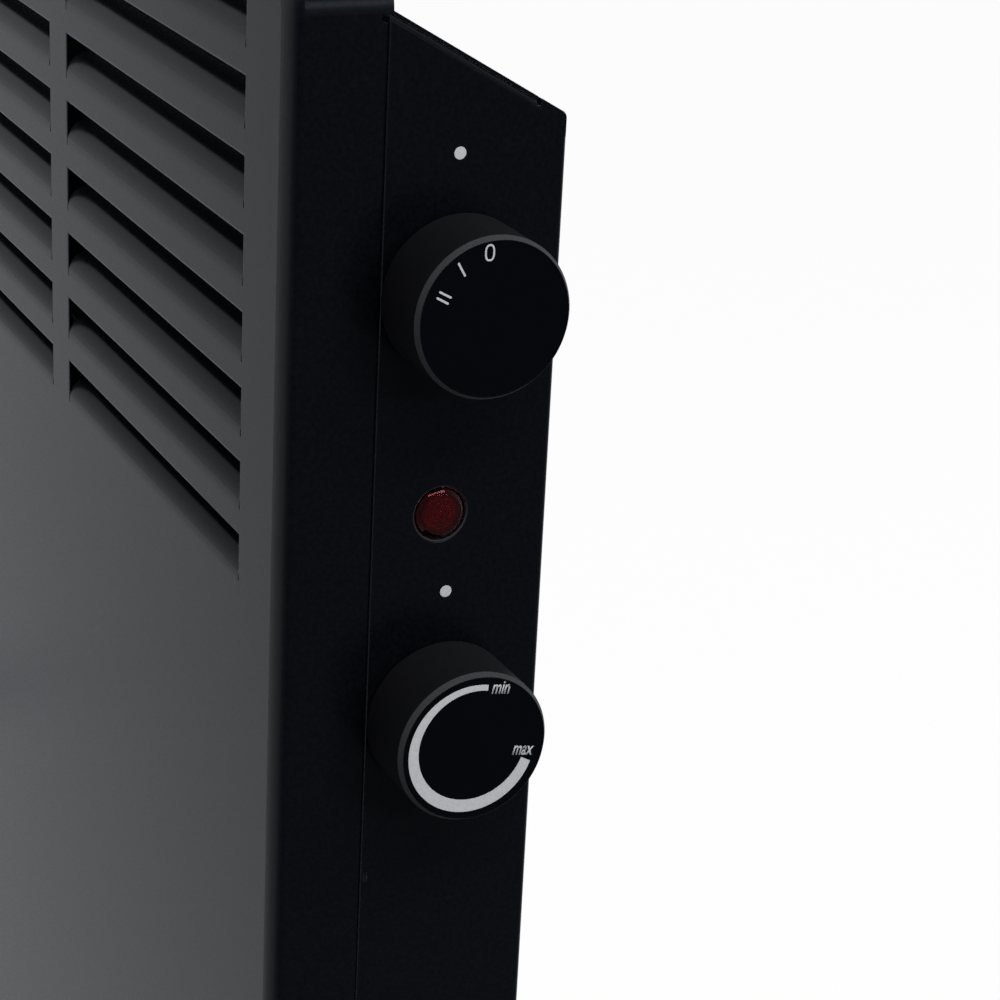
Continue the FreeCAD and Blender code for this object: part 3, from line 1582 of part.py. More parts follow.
def small_screws():
    """The identical small screws of the selector and the cut-out."""
    pattern = pan_screw(small_screw_radius, small_screw_length, small_screw_head_radius,
                        small_screw_head_height)
    screws = [placed(pattern, Vector(body_right, y, z), -X_AXIS) for y, z in selector_screw_places()]
    y, z = cutout_middle()
    for side in (-cutout_screw_offset, cutout_screw_offset):
        screws.append(placed(pattern, Vector(partition_x + cutout_flange, y + side, z), -X_AXIS))
    return Part.makeCompound(screws)


def pad_places(middle):
    """The middles of a foot's two pads."""
    reach = foot_length / 2 - pad_inset
    return [(middle, -reach), (middle, reach)]


def foot(middle):
    """A moulded foot: a long low beam under the casing, arched between its pads."""
    half = foot_length / 2
    x0 = middle - foot_width / 2
    x1 = middle + foot_width / 2
    sole = pad_thickness - pad_seat
    shoulder = rear_y + 2 * side_corner_radius
    arch = foot_arch_length / 2
    arch_z = sole + foot_arch_height
    profile = [(-half, sole), (-arch, sole), (-arch + foot_arch_height, arch_z),
               (arch - foot_arch_height, arch_z), (arch, sole), (half, sole), (half, foot_tip_height),
               (shoulder, bottom_z), (-shoulder, bottom_z), (-half, foot_tip_height)]
    beam = prism_x(profile, x0, x1)
    beam = beam.makeFillet(2 * foot_edge_radius,
                           [e for e in edges_along(beam, X_AXIS) if abs(e.Vertexes[0].Point.y) > arch])
    rims = edges_in_plane(beam, X_AXIS, x0) + edges_in_plane(beam, X_AXIS, x1)
    beam = beam.makeFillet(foot_edge_radius, rims)
    step = box(x0 + 2 * foot_edge_radius, x1 - 2 * foot_edge_radius, seam_y + 2 * seam_gap_top,
               back_inner_y - bend_radius, bottom_z - over, bottom_z + sheet)
    cuts = []
    for x, y in pad_places(middle):
        cuts.append(rod_z(x, y, sole - over, sole + pad_seat, pad_radius + pad_gap))
    for x, y in foot_screw_places(middle):
        cuts.append(rod_z(x, y, sole, bottom_z + sheet + over, foot_screw_radius + screw_gap))
    return join([beam, step]).cut(cuts)


def foot_pads():
    """The rubber pads that the heater stands on."""
    pads = []
    for middle in foot_middles():
        for x, y in pad_places(middle):
            pad = rod_z(x, y, 0, pad_thickness, pad_radius)
            pads.append(pad.makeFillet(pad_thickness / 6, edges_in_plane(pad, Z_AXIS, 0)))
    return Part.makeCompound(pads)


def foot_screws():
    """The screws and nuts that hold the feet."""
    seat = pad_thickness - pad_seat + foot_arch_height
    reach = floor_z - seat + foot_nut_height + foot_screw_radius
    pattern = pan_screw(foot_screw_radius, reach, foot_screw_head_radius, foot_screw_head_height)
    pieces = []
    for middle in foot_middles():
        for x, y in foot_screw_places(middle):
            pieces.append(placed(pattern, Vector(x, y, seat), Z_AXIS))
            nut = placed(hexagon(2 * foot_nut_radius, foot_nut_height), Vector(x, y, floor_z), Z_AXIS)
            pieces.append(nut.cut(rod_z(x, y, floor_z - over, floor_z + 2 * foot_nut_height,
                                        foot_screw_radius + press_gap)))
    return Part.makeCompound(pieces)


def build():
    """Every piece of the heater by its name."""
    low, high = element_heights()
    left, right = foot_middles()
    return {
        "front_panel": front_panel(),
        "right_side_panel": right_side_panel(),
        "left_side_panel": left_side_panel(),
        "back_panel": back_panel(),
        "bottom_grille": bottom_grille(),
        "foot_left": foot(left),
        "foot_right": foot(right),
        "foot_pads": foot_pads(),
        "foot_screws": foot_screws(),
        "case_screws": case_screws(),
        "small_screws": small_screws(),
        "control_partition": control_partition(),
        "left_element_bracket": left_element_bracket(),
        "heat_shield": heat_shield(),
        "shield_rivets": shield_rivets(),
        "lower_element_fins": element_fins(low),
        "upper_element_fins": element_fins(high),
        "lower_element_rod": element_rod(low),
        "upper_element_rod": element_rod(high),
        "element_insulators": element_insulators(),
        "element_tabs": element_tabs(),
        "element_link": element_link(),
        "selector_knob": knob(selector_z),
        "selector_knob_clip": knob_clip(selector_z),
        "selector_shaft": selector_shaft(),
        "selector_cam": selector_cam(),
        "selector_body": selector_body(),
        "selector_cover": selector_cover(),
        "selector_tabs": selector_tabs(),
        "selector_yoke": selector_yoke(),
        "thermostat_knob": knob(thermostat_z),
        "thermostat_knob_clip": knob_clip(thermostat_z),
        "thermostat_shaft": thermostat_shaft(),
        "thermostat_bush": thermostat_bush(),
        "thermostat_nut": thermostat_nut(),
        "thermostat_frame": thermostat_frame(),
        "thermostat_insulators": thermostat_insulators(),
        "thermostat_contact_blade": thermostat_contact_blade(),
        "thermostat_bimetal": thermostat_bimetal(),
        "thermostat_rivet": thermostat_rivet(),
        "lamp_lens": lamp_lens(),
        "lamp_body": lamp_body(),
        "neon_bulb": neon_bulb(),
        "lamp_bracket": lamp_bracket(),
        "cutout_cap": cutout_cap_piece(),
        "cutout_body": cutout_body(),
        "cutout_tabs": cutout_tabs(),
        "terminal_block": terminal_block(),
        "terminal_screws": terminal_screws(),
        "earth_stud": earth_stud(),
        "cord_gland": cord_gland(),
        "live_wire": live_wire(),
        "neutral_wire": neutral_wire(),
        "heat_wires": heat_wires(),
        "thermostat_wire": thermostat_wire(),
        "return_wire": return_wire(),
        "earth_wire": earth_wire(),
        "lamp_leads": lamp_leads(),
        "spade_connectors": spade_connectors(),
        "wire_clips": wire_clips(),
    }


os.makedirs("parts", exist_ok=True)
for name, shape in build().items():
    shape.exportStep("parts/" + name + ".step")
    print(name, len(shape.Solids), round(shape.Volume, 1), shape.isValid())
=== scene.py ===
import json
import math

import bmesh
import bpy
from mathutils import Matrix, Vector


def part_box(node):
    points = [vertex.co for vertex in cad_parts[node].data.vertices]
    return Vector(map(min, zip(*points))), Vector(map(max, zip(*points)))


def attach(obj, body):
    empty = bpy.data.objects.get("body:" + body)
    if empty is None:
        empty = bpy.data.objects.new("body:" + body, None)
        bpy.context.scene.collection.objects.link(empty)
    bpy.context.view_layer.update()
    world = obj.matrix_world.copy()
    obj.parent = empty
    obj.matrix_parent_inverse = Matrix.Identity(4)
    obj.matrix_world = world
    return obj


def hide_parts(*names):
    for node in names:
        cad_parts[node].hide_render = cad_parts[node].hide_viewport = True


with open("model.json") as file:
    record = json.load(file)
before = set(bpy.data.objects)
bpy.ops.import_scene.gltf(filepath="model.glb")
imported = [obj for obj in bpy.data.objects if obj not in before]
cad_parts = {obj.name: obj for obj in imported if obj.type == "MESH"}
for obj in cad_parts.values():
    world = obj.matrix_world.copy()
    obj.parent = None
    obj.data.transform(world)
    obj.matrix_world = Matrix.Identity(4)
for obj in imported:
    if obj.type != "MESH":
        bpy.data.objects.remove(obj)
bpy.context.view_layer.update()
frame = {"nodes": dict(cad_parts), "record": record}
scene = bpy.context.scene
MM = 0.001

# Places on the heater, in metres
SEAM_PIP_RISE = 0.25 * MM
KNOB_FACE_RECESS = 0.1 * MM
PANEL_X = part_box("right_side_panel")[1].x - SEAM_PIP_RISE
FACE_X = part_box("selector_knob")[1].x - KNOB_FACE_RECESS
CONTROL_Y = 8.2 * MM
SELECTOR_Z = 364.5 * MM
THERMOSTAT_Z = 259.5 * MM
LAMP_Y = 6.5 * MM
LAMP_Z = 311.0 * MM

# Camera, as fitted to the photograph
CAMERA_PLACE = Vector((0.85545, -0.24722, 0.54671))
CAMERA_AZIMUTH = math.radians(26.23)
CAMERA_PITCH = math.radians(21.04)
CAMERA_ROLL = math.radians(-2.90)
CAMERA_LENS = 99.78
CAMERA_SENSOR = 36.0
CAMERA_CLIP_START = 0.01
CAMERA_CLIP_END = 100.0

# Stage: what the surround and the floor give the object, and how they are shown
WHITE = (1.0, 1.0, 1.0, 1.0)
WORLD_COLOUR = (0.97, 0.98, 1.0, 1.0)
WORLD_FILL = 0.16
FLOOR_HALF = 12.0
FLOOR_BOUNCE = (0.42, 0.42, 0.42, 1.0)
FLOOR_PALE = (0.9, 0.9, 0.9, 1.0)
FLOOR_WHITE_SHARE = 0.96

# Lights: name, direction from the aim, distance, width and height in metres, and watts
LIGHT_AIM = Vector((0.2, 0.0, 0.3))
LIGHTS = (
    ("key", (0.62, 0.1, 0.76), 2.0, 2.0, 0.4, 40.0),
    ("rim", (0.88, 0.39, 0.27), 2.2, 0.8, 0.4, 22.0),
    ("front_fill", (-0.5, -0.8, 0.45), 3.0, 2.4, 2.4, 4.0),
)


def add_camera():
    """The camera at the photograph's viewing angle."""
    forward = Vector((-math.cos(CAMERA_AZIMUTH) * math.cos(CAMERA_PITCH),
                      math.sin(CAMERA_AZIMUTH) * math.cos(CAMERA_PITCH),
                      -math.sin(CAMERA_PITCH)))
    level = Vector((math.sin(CAMERA_AZIMUTH), math.cos(CAMERA_AZIMUTH), 0.0))
    down = forward.cross(level)
    across = math.cos(CAMERA_ROLL) * level + math.sin(CAMERA_ROLL) * down
    up = math.sin(CAMERA_ROLL) * level - math.cos(CAMERA_ROLL) * down
    data = bpy.data.cameras.new("camera")
    data.lens = CAMERA_LENS
    data.sensor_width = CAMERA_SENSOR
    data.sensor_fit = "HORIZONTAL"
    data.clip_start = CAMERA_CLIP_START
    data.clip_end = CAMERA_CLIP_END
    camera = bpy.data.objects.new("camera", data)
    turn = Matrix((across, up, -forward)).transposed()
    camera.matrix_world = Matrix.Translation(CAMERA_PLACE) @ turn.to_4x4()
    scene.collection.objects.link(camera)
    scene.camera = camera


def feed(tree, node, inputs):
    """Sets a node's inputs, or links those that another node feeds, and returns its outputs."""
    for socket, value in inputs.items():
        if isinstance(value, bpy.types.NodeSocket):
            tree.links.new(value, node.inputs[socket])
        else:
            node.inputs[socket].default_value = value
    return node.outputs


def add_node(tree, kind, inputs):
    """Adds a node with its inputs and returns its outputs."""
    return feed(tree, tree.nodes.new(kind), inputs)


def combine(tree, operation, first, second):
    """One number worked out from two."""
    node = tree.nodes.new("ShaderNodeMath")
    node.operation = operation
    return feed(tree, node, {0: first, 1: second})[0]


def show_by_ray(tree, output, lighting, shown):
    """Gives camera, glossy and transmission rays one shader, and the rays that light another."""
    path = tree.nodes.new("ShaderNodeLightPath").outputs
    factor = path["Is Camera Ray"]
    for ray in ("Is Glossy Ray", "Is Transmission Ray"):
        factor = combine(tree, "MAXIMUM", factor, path[ray])
    mix = add_node(tree, "ShaderNodeMixShader", {0: factor, 1: lighting, 2: shown})
    add_node(tree, output, {"Surface": mix[0]})


def add_world():
    """A white surround that lights the object softly."""
    world = bpy.data.worlds.new("studio")
    scene.world = world
    world.use_nodes = True
    tree = world.node_tree
    tree.nodes.clear()
    light = add_node(tree, "ShaderNodeBackground", {"Color": WORLD_COLOUR, "Strength": WORLD_FILL})
    shown = add_node(tree, "ShaderNodeBackground", {"Color": WHITE, "Strength": 1.0})
    show_by_ray(tree, "ShaderNodeOutputWorld", light[0], shown[0])


def add_floor():
    """A pale floor that keeps a soft shadow."""
    mesh = bpy.data.meshes.new("floor")
    corners = [(x * FLOOR_HALF, y * FLOOR_HALF, 0) for x, y in ((-1, -1), (1, -1), (1, 1), (-1, 1))]
    mesh.from_pydata(corners, [], [(0, 1, 2, 3)])
    floor = bpy.data.objects.new("floor", mesh)
    scene.collection.objects.link(floor)
    material = bpy.data.materials.new("floor_paper")
    material.use_nodes = True
    tree = material.node_tree
    tree.nodes.clear()
    paper = add_node(tree, "ShaderNodeBsdfDiffuse", {"Color": FLOOR_BOUNCE})
    pale = add_node(tree, "ShaderNodeBsdfDiffuse", {"Color": FLOOR_PALE})
    glow = add_node(tree, "ShaderNodeEmission", {"Color": WHITE, "Strength": 1.0})
    shown = add_node(tree, "ShaderNodeMixShader", {0: FLOOR_WHITE_SHARE, 1: pale[0], 2: glow[0]})
    show_by_ray(tree, "ShaderNodeOutputMaterial", paper[0], shown[0])
    mesh.materials.append(material)


def add_light(name, toward, distance, width, height, watts):
    """A flat soft light that faces the controls."""
    data = bpy.data.lights.new(name, "AREA")
    data.shape = "RECTANGLE"
    data.size = width
    data.size_y = height
    data.energy = watts
    light = bpy.data.objects.new(name, data)
    way = Vector(toward).normalized()
    light.location = LIGHT_AIM + way * distance
    light.rotation_mode = "QUATERNION"
    light.rotation_quaternion = way.to_track_quat("Z", "Y")
    light.visible_camera = False
    scene.collection.objects.link(light)


# Materials. A noise's scale is per metre, and a bump's depth is in metres.

NOISE_ROUGHNESS = 0.55
MIX_FACTOR, MIX_BASE, MIX_OVER, MIX_RESULT = 0, 6, 7, 2


class Finish:
    """A procedural material, built up node by node on one principled shader."""

    def __init__(self, name):
        self.material = bpy.data.materials.new(name)
        self.material.use_nodes = True
        self.tree = self.material.node_tree
        self.shader = self.tree.nodes["Principled BSDF"]
        self.coordinates = self.tree.nodes.new("ShaderNodeTexCoord").outputs
        self.place = self.coordinates["Object"]

    def set(self, **values):
        """Sets the shader's sockets, named with _ for a space."""
        for name, value in values.items():
            self.shader.inputs[name.replace("_", " ")].default_value = value
        return self

    def noise(self, scale, detail, stretch=None):
        """A fine noise, drawn out along an axis where stretch makes its scale small."""
        place = self.place
        if stretch:
            mapping = add_node(self.tree, "ShaderNodeMapping", {"Vector": place, "Scale": stretch})
            place = mapping["Vector"]
        inputs = {"Vector": place, "Scale": scale, "Detail": detail, "Roughness": NOISE_ROUGHNESS}
        return add_node(self.tree, "ShaderNodeTexNoise", inputs)["Fac"]

    def cells(self, scale, output="Color"):
        """A pattern of crystals."""
        inputs = {"Vector": self.place, "Scale": scale}
        return add_node(self.tree, "ShaderNodeTexVoronoi", inputs)[output]

    def stripes(self, scale, distortion):
        """Slanting stripes."""
        node = self.tree.nodes.new("ShaderNodeTexWave")
        node.bands_direction = "DIAGONAL"
        inputs = {"Vector": self.place, "Scale": scale, "Distortion": distortion}
        return feed(self.tree, node, inputs)["Fac"]

    def axis(self, coordinate, axis):
        """One axis of a coordinate, such as the normal's X."""
        inputs = {"Vector": self.coordinates[coordinate]}
        return add_node(self.tree, "ShaderNodeSeparateXYZ", inputs)[axis]

    def ramp(self, factor, stops):
        """A colour by a factor, from stops of position and colour."""
        node = self.tree.nodes.new("ShaderNodeValToRGB")
        elements = node.color_ramp.elements
        while len(elements) < len(stops):
            elements.new(0.5)
        for element, (position, colour) in zip(elements, stops):
            element.position = position
            element.color = (*colour, 1.0)
        return feed(self.tree, node, {"Fac": factor})["Color"]

    def spread(self, factor, low, high, start=0.3, stop=0.7):
        """A number from low to high while the factor goes from start to stop."""
        inputs = {"Value": factor, "From Min": start, "From Max": stop,
                  "To Min": low, "To Max": high}
        return add_node(self.tree, "ShaderNodeMapRange", inputs)["Result"]

    def layer(self, blend, base, over, factor=1.0):
        """One colour laid over another."""
        node = self.tree.nodes.new("ShaderNodeMix")
        node.data_type = "RGBA"
        node.blend_type = blend
        inputs = {MIX_FACTOR: factor, MIX_BASE: base, MIX_OVER: over}
        return feed(self.tree, node, inputs)[MIX_RESULT]

    def link(self, output, socket):
        """Links an output to one of the shader's sockets."""
        self.tree.links.new(output, self.shader.inputs[socket])
        return self

    def colour(self, factor, stops):
        """The base colour, by a ramp."""
        return self.link(self.ramp(factor, stops), "Base Color")

    def rough(self, factor, low, high):
        """The roughness, between two values."""
        return self.link(self.spread(factor, low, high), "Roughness")

    def bump(self, factor, depth):
        """A relief of the given depth."""
        inputs = {"Height": factor, "Strength": 1.0, "Distance": depth}
        return self.link(add_node(self.tree, "ShaderNodeBump", inputs)["Normal"], "Normal")


def two(dark, light):
    """The two ends of a ramp over a noise."""
    return [(0.35, dark), (0.65, light)]


# The casing's coat: a painted highlight added to its tone on a bend, by how far the normal turns
# sideways, a painted sheen added on a face that looks forward, and where the back's inner side is
# dull
COAT_TONES = (0.0008, 0.0010, 0.0016), (0.0017, 0.0020, 0.0028)
BEND_HIGHLIGHT_TONES = (0.05, 0.0), (0.2, 0.040), (0.4, 0.028), (0.62, 0.012), (0.8, 0.005), (0.95, 0.0)
BEND_HIGHLIGHT_TINT = (0.95, 0.97, 1.05)
FORWARD_SHEEN_TONE = (0.0140, 0.0143, 0.0152, 1.0)
FORWARD_SHEEN_NORMAL = (-0.5, -0.95)
INWARD_NORMAL = (-0.4, -0.6)
INNER_SIDE_Y = (20 * MM, 25 * MM)
INNER_ROUGHNESS = 0.95


def painted(name):
    """Satin black powder coat with a fine orange peel.

    It is paler on bends, as a painted highlight, and on faces that look forward, as a painted
    sheen, and dull on the inner side of the back, where the spray hardly reaches.
    """
    f = Finish(name).set(Specular_IOR_Level=0.027, Specular_Tint=(0.65, 0.75, 0.9, 1.0))
    f.set(Sheen_Weight=0.26, Sheen_Roughness=0.3, Sheen_Tint=(0.72, 0.80, 1.0, 1.0))
    coat = f.ramp(f.noise(900, 4.0), two(*COAT_TONES))
    sideways = f.axis("Normal", "X")
    # Painted highlight: the coat is made paler on a bend, where the normal turns sideways.
    stops = [(turn ** 2, [tint * tone for tint in BEND_HIGHLIGHT_TINT]) for turn, tone in BEND_HIGHLIGHT_TONES]
    bend_highlight = f.ramp(combine(f.tree, "MULTIPLY", sideways, sideways), stops)
    # Painted sheen: the coat is made paler on faces that look forward.
    forward = f.spread(f.axis("Normal", "Y"), 0.0, 1.0, *FORWARD_SHEEN_NORMAL)
    f.link(f.layer("ADD", f.layer("ADD", coat, bend_highlight), FORWARD_SHEEN_TONE, forward), "Base Color")
    behind = f.spread(f.axis("Object", "Y"), 0.0, 1.0, *INNER_SIDE_Y)
    inward = f.spread(f.axis("Normal", "Y"), 0.0, INNER_ROUGHNESS, *INWARD_NORMAL)
    dull = combine(f.tree, "MULTIPLY", behind, inward)
    satin = f.spread(f.noise(1200, 3.0), 0.22, 0.30)
    f.link(combine(f.tree, "MAXIMUM", satin, dull), "Roughness")
    return f.bump(f.noise(1600, 2.0), 0.003 * MM).material


def knob(name):
    """The knobs' black plastic: a grained skirt painted paler than the face, a bevel painted pale
    as a highlight and a smooth black face.
    """
    f = Finish(name).set(Specular_IOR_Level=0.012, Specular_Tint=(0.4, 0.45, 0.6, 1.0))
    # Painted light: one plastic in three tones by the way it faces; the pale bevel is a painted
    # highlight, and the skirt is painted paler than the face.
    skirt = (0.0082, 0.0085, 0.0098)
    bevel = (0.037, 0.038, 0.041)
    face = (0.0013, 0.0015, 0.0023)
    stops = [(0.25, skirt), (0.40, bevel), (0.65, bevel), (0.80, face)]
    tone = f.ramp(f.axis("Normal", "X"), stops)
    grain = f.ramp(f.noise(2400, 4.0), two((0.78, 0.78, 0.78), (1.0, 1.0, 1.0)))
    f.link(f.layer("MULTIPLY", tone, grain), "Base Color")
    f.rough(f.noise(120, 3.0), 0.37, 0.47)
    return f.bump(f.noise(2600, 3.0), 0.008 * MM).material


def grained(name, tones, specks, dulling, rough, grain, depth, **sockets):
    """A material of uneven tone and gloss with a fine grain.

    specks, dulling and grain are each a noise's scale and detail, and rough is a range.
    """
    f = Finish(name).set(**sockets)
    f.colour(f.noise(*specks), two(*tones))
    f.rough(f.noise(*dulling), *rough)
    return f.bump(f.noise(*grain), depth).material


def moulded(name, tones, grain, depth, rough, specular):
    """A moulded plastic with a fine eroded grain."""
    return grained(name, tones, specks=(grain * 0.6, 4.0), dulling=(120, 3.0),
                   rough=(rough - 0.05, rough + 0.05), grain=(grain, 3.0), depth=depth,
                   Specular_IOR_Level=specular)


def clear(name, tones, rough, ior, tint):
    """A clear moulding or glass with faint flow marks."""
    return grained(name, tones, specks=(250, 2.0), dulling=(180, 2.0),
                   rough=(rough * 0.6, rough * 1.4), grain=(350, 2.0), depth=0.004 * MM,
                   Transmission_Weight=1.0, IOR=ior, Specular_Tint=tint)


def ceramic(name):
    """The pale body of the insulators."""
    return grained(name, ((0.74, 0.71, 0.64), (0.86, 0.84, 0.78)), specks=(1500, 5.0),
                   dulling=(200, 3.0), rough=(0.45, 0.65), grain=(1200, 3.0), depth=0.02 * MM,
                   Specular_IOR_Level=0.4)


def ink(name):
    """White printing ink, slightly uneven."""
    return grained(name, ((0.30, 0.305, 0.32), (0.345, 0.35, 0.365)), specks=(1800, 4.0),
                   dulling=(700, 2.0), rough=(0.5, 0.62), grain=(2500, 2.0), depth=0.004 * MM,
                   Specular_IOR_Level=0.2)


def lamp_red(name):
    """The red diffuser seen through the lens."""
    return grained(name, ((0.50, 0.08, 0.10), (0.74, 0.13, 0.15)), specks=(900, 3.0),
                   dulling=(500, 2.0), rough=(0.25, 0.4), grain=(1500, 2.0), depth=0.01 * MM,
                   Specular_IOR_Level=0.4)


def metal(name, stops, scale, rough, depth, stretch=None, spangled=False):
    """A bare or plated metal with grain or zinc flowers, dulling and slight waviness."""
    f = Finish(name).set(Metallic=1.0)
    f.colour(f.cells(scale) if spangled else f.noise(scale, 4.0, stretch), stops)
    f.rough(f.noise(scale * 0.7, 4.0, stretch), rough - 0.08, rough + 0.1)
    return f.bump(f.noise(scale * 1.5, 2.0, stretch), depth).material


def insulation(name, tones, braid=0.0, striped=False):
    """Wire insulation: smooth, braided to a depth, or striped in two colours."""
    f = Finish(name).set(Specular_IOR_Level=0.35)
    if striped:
        first, second = tones
        f.colour(f.stripes(60.0, 0.6), [(0.46, first), (0.54, second)])
    else:
        f.colour(f.noise(600, 3.0), two(*tones))
    f.rough(f.noise(300, 2.0), 0.42, 0.55)
    if braid:
        return f.bump(f.cells(1400, "Distance"), braid).material
    return f.bump(f.noise(900, 2.0), 0.01 * MM).material


GRAIN_ALONG_X = (0.02, 1.0, 1.0)
GRAIN_ALONG_Z = (1.0, 1.0, 0.03)
SCALED_STEEL = [(0.3, (0.16, 0.12, 0.09)), (0.5, (0.24, 0.21, 0.18)), (0.7, (0.17, 0.18, 0.23))]
BRAID_DEPTH = 0.05 * MM

METALS = {
    "galvanised_sheet": dict(stops=two((0.36, 0.37, 0.39), (0.56, 0.57, 0.59)), scale=140,
                             rough=0.42, depth=0.01 * MM, spangled=True),
    "bright_sheet": dict(stops=two((0.62, 0.63, 0.64), (0.78, 0.79, 0.80)), scale=2200,
                         rough=0.24, depth=0.004 * MM, stretch=GRAIN_ALONG_X),
    "extrusion": dict(stops=two((0.52, 0.53, 0.55), (0.70, 0.71, 0.72)), scale=2600,
                      rough=0.34, depth=0.01 * MM, stretch=GRAIN_ALONG_X),
    "heater_sheath": dict(stops=SCALED_STEEL, scale=60, rough=0.45, depth=0.01 * MM),
    "zinc_fastener": dict(stops=two((0.50, 0.51, 0.52), (0.68, 0.69, 0.71)), scale=700,
                          rough=0.3, depth=0.008 * MM),
    "plated_brass": dict(stops=two((0.56, 0.42, 0.17), (0.70, 0.56, 0.27)), scale=800,
                         rough=0.28, depth=0.006 * MM),
    "spring_steel": dict(stops=two((0.36, 0.36, 0.37), (0.52, 0.52, 0.53)), scale=1800,
                         rough=0.26, depth=0.004 * MM, stretch=GRAIN_ALONG_Z),
}

MOULDINGS = {
    "foot_plastic": dict(tones=((0.006, 0.006, 0.0065), (0.010, 0.010, 0.0105)), grain=1500,
                         depth=0.02 * MM, rough=0.55, specular=0.12),
    "black_moulding": dict(tones=((0.010, 0.010, 0.010), (0.016, 0.016, 0.016)), grain=1200,
                           depth=0.015 * MM, rough=0.45, specular=0.3),
    "white_moulding": dict(tones=((0.70, 0.69, 0.66), (0.80, 0.79, 0.76)), grain=900,
                           depth=0.012 * MM, rough=0.38, specular=0.45),
    "rubber": dict(tones=((0.008, 0.008, 0.008), (0.016, 0.016, 0.016)), grain=1300,
                   depth=0.03 * MM, rough=0.8, specular=0.2),
}

CLEAR_PIECES = {
    "red_lens": dict(tones=((0.13, 0.003, 0.004), (0.16, 0.004, 0.006)), rough=0.05, ior=1.3,
                     tint=(0.8, 0.15, 0.19, 1.0)),
    "bulb_glass": dict(tones=((0.92, 0.90, 0.88), (0.96, 0.95, 0.94)), rough=0.02, ior=1.47,
                       tint=WHITE),
}

WIRES = {
    "brown_insulation": dict(tones=((0.055, 0.020, 0.008), (0.085, 0.032, 0.013))),
    "blue_insulation": dict(tones=((0.008, 0.040, 0.22), (0.014, 0.060, 0.30))),
    "red_insulation": dict(tones=((0.22, 0.008, 0.006), (0.32, 0.013, 0.010)), braid=BRAID_DEPTH),
    "black_insulation": dict(tones=((0.006, 0.006, 0.006), (0.011, 0.011, 0.011))),
    "earth_insulation": dict(tones=((0.03, 0.22, 0.04), (0.72, 0.56, 0.03)), striped=True),
    "white_insulation": dict(tones=((0.62, 0.61, 0.57), (0.74, 0.73, 0.69)), braid=BRAID_DEPTH),
}


def make_finishes():
    """One material for each of the record's slots."""
    made = {
        "casing_paint": painted("casing_paint"),
        "knob_plastic": knob("knob_plastic"),
        "ceramic": ceramic("ceramic"),
    }
    kinds = (metal, METALS), (moulded, MOULDINGS), (clear, CLEAR_PIECES), (insulation, WIRES)
    for maker, table in kinds:
        for name, values in table.items():
            made[name] = maker(name, **values)
    return made


# Meshes of the added pieces

WELD = 1e-7


def new_piece(name, mesh_maker, body, material):
    """Makes a mesh object, finishes it and lets it ride on a body."""
    work = bmesh.new()
    mesh_maker(work)
    bmesh.ops.remove_doubles(work, verts=work.verts, dist=WELD)
    bmesh.ops.recalc_face_normals(work, faces=work.faces)
    mesh = bpy.data.meshes.new(name)
    work.to_mesh(mesh)
    work.free()
    mesh.materials.append(material)
    piece = bpy.data.objects.new(name, mesh)
    scene.collection.objects.link(piece)
    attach(piece, body)
    return piece


def bridge(work, one, other, closed=True):
    """Faces between two rows of points that are as long as each other."""
    count = len(one)
    for k in range(count if closed else count - 1):
        n = (k + 1) % count
        work.faces.new((one[k], one[n], other[n], other[k]))


def capped(work, low, top):
    """A closed plate between two rings of points."""
    bridge(work, low, top)
    work.faces.new(top)
    work.faces.new(list(reversed(low)))


# Printed marks: thin films of ink with softened edges

INK_LIFT = 0.002 * MM
INK_HEIGHT = 0.03 * MM
INK_EDGE = 0.05 * MM


def band(work, inner, outer, x, closed):
    """A band of ink between two outlines of (y, z) points; an open band gets end walls."""
    rings = []
    for edge, height, drawn_in in ((outer, 0.0, 0.0), (outer, INK_HEIGHT, INK_EDGE),
                                   (inner, INK_HEIGHT, -INK_EDGE), (inner, 0.0, 0.0)):
        ring = []
        for start, stop, point in zip(outer, inner, edge):
            way = (Vector(stop) - Vector(start)).normalized()
            place = Vector(point) + way * drawn_in
            ring.append(work.verts.new((x + INK_LIFT + height, place.x, place.y)))
        rings.append(ring)
    for one, other in zip(rings, rings[1:] + rings[:1]):
        bridge(work, one, other, closed)
    if not closed:
        for k in (0, len(outer) - 1):
            work.faces.new([ring[k] for ring in rings])


def pad(work, outline, x):
    """A patch of ink with one convex outline."""
    middle = sum((Vector(p) for p in outline), Vector((0, 0))) / len(outline)
    low, top = [], []
    for p in outline:
        a = Vector(p)
        b = a + (middle - a).normalized() * INK_EDGE
        low.append(work.verts.new((x + INK_LIFT, a.x, a.y)))
        top.append(work.verts.new((x + INK_LIFT + INK_HEIGHT, b.x, b.y)))
    capped(work, low, top)


def around(centre, radii, start, stop):
    """Points round a centre, by degrees anticlockwise from the top, seen from outside."""
    points = []
    for k, radius in enumerate(radii):
        a = math.radians(start + (stop - start) * k / (len(radii) - 1))
        points.append((centre[0] - radius * math.sin(a), centre[1] + radius * math.cos(a)))
    return points


def stadium(a, b, width, steps=10):
    """The outline of a round-ended stroke from a to b."""
    a, b = Vector(a), Vector(b)
    turn = math.atan2(b.y - a.y, b.x - a.x)
    points = []
    for end, first in ((b, -math.pi / 2), (a, math.pi / 2)):
        for k in range(steps + 1):
            t = turn + first + math.pi * k / steps
            points.append((end.x + width / 2 * math.cos(t), end.y + width / 2 * math.sin(t)))
    return points


def oval(centre, half_width, half_height, power=2.5, count=64):
    """The outline of a narrow figure nought."""
    points = []
    for k in range(count):
        t = 2 * math.pi * k / count
        c, s = math.cos(t), math.sin(t)
        points.append((centre[0] + half_width * math.copysign(abs(c) ** (2 / power), c),
                       centre[1] + half_height * math.copysign(abs(s) ** (2 / power), s)))
    return points


def on_knob(z, place):
    """Turns millimetres from a knob's axis into (y, z) in metres."""
    return CONTROL_Y + place[0] * MM, z + place[1] * MM


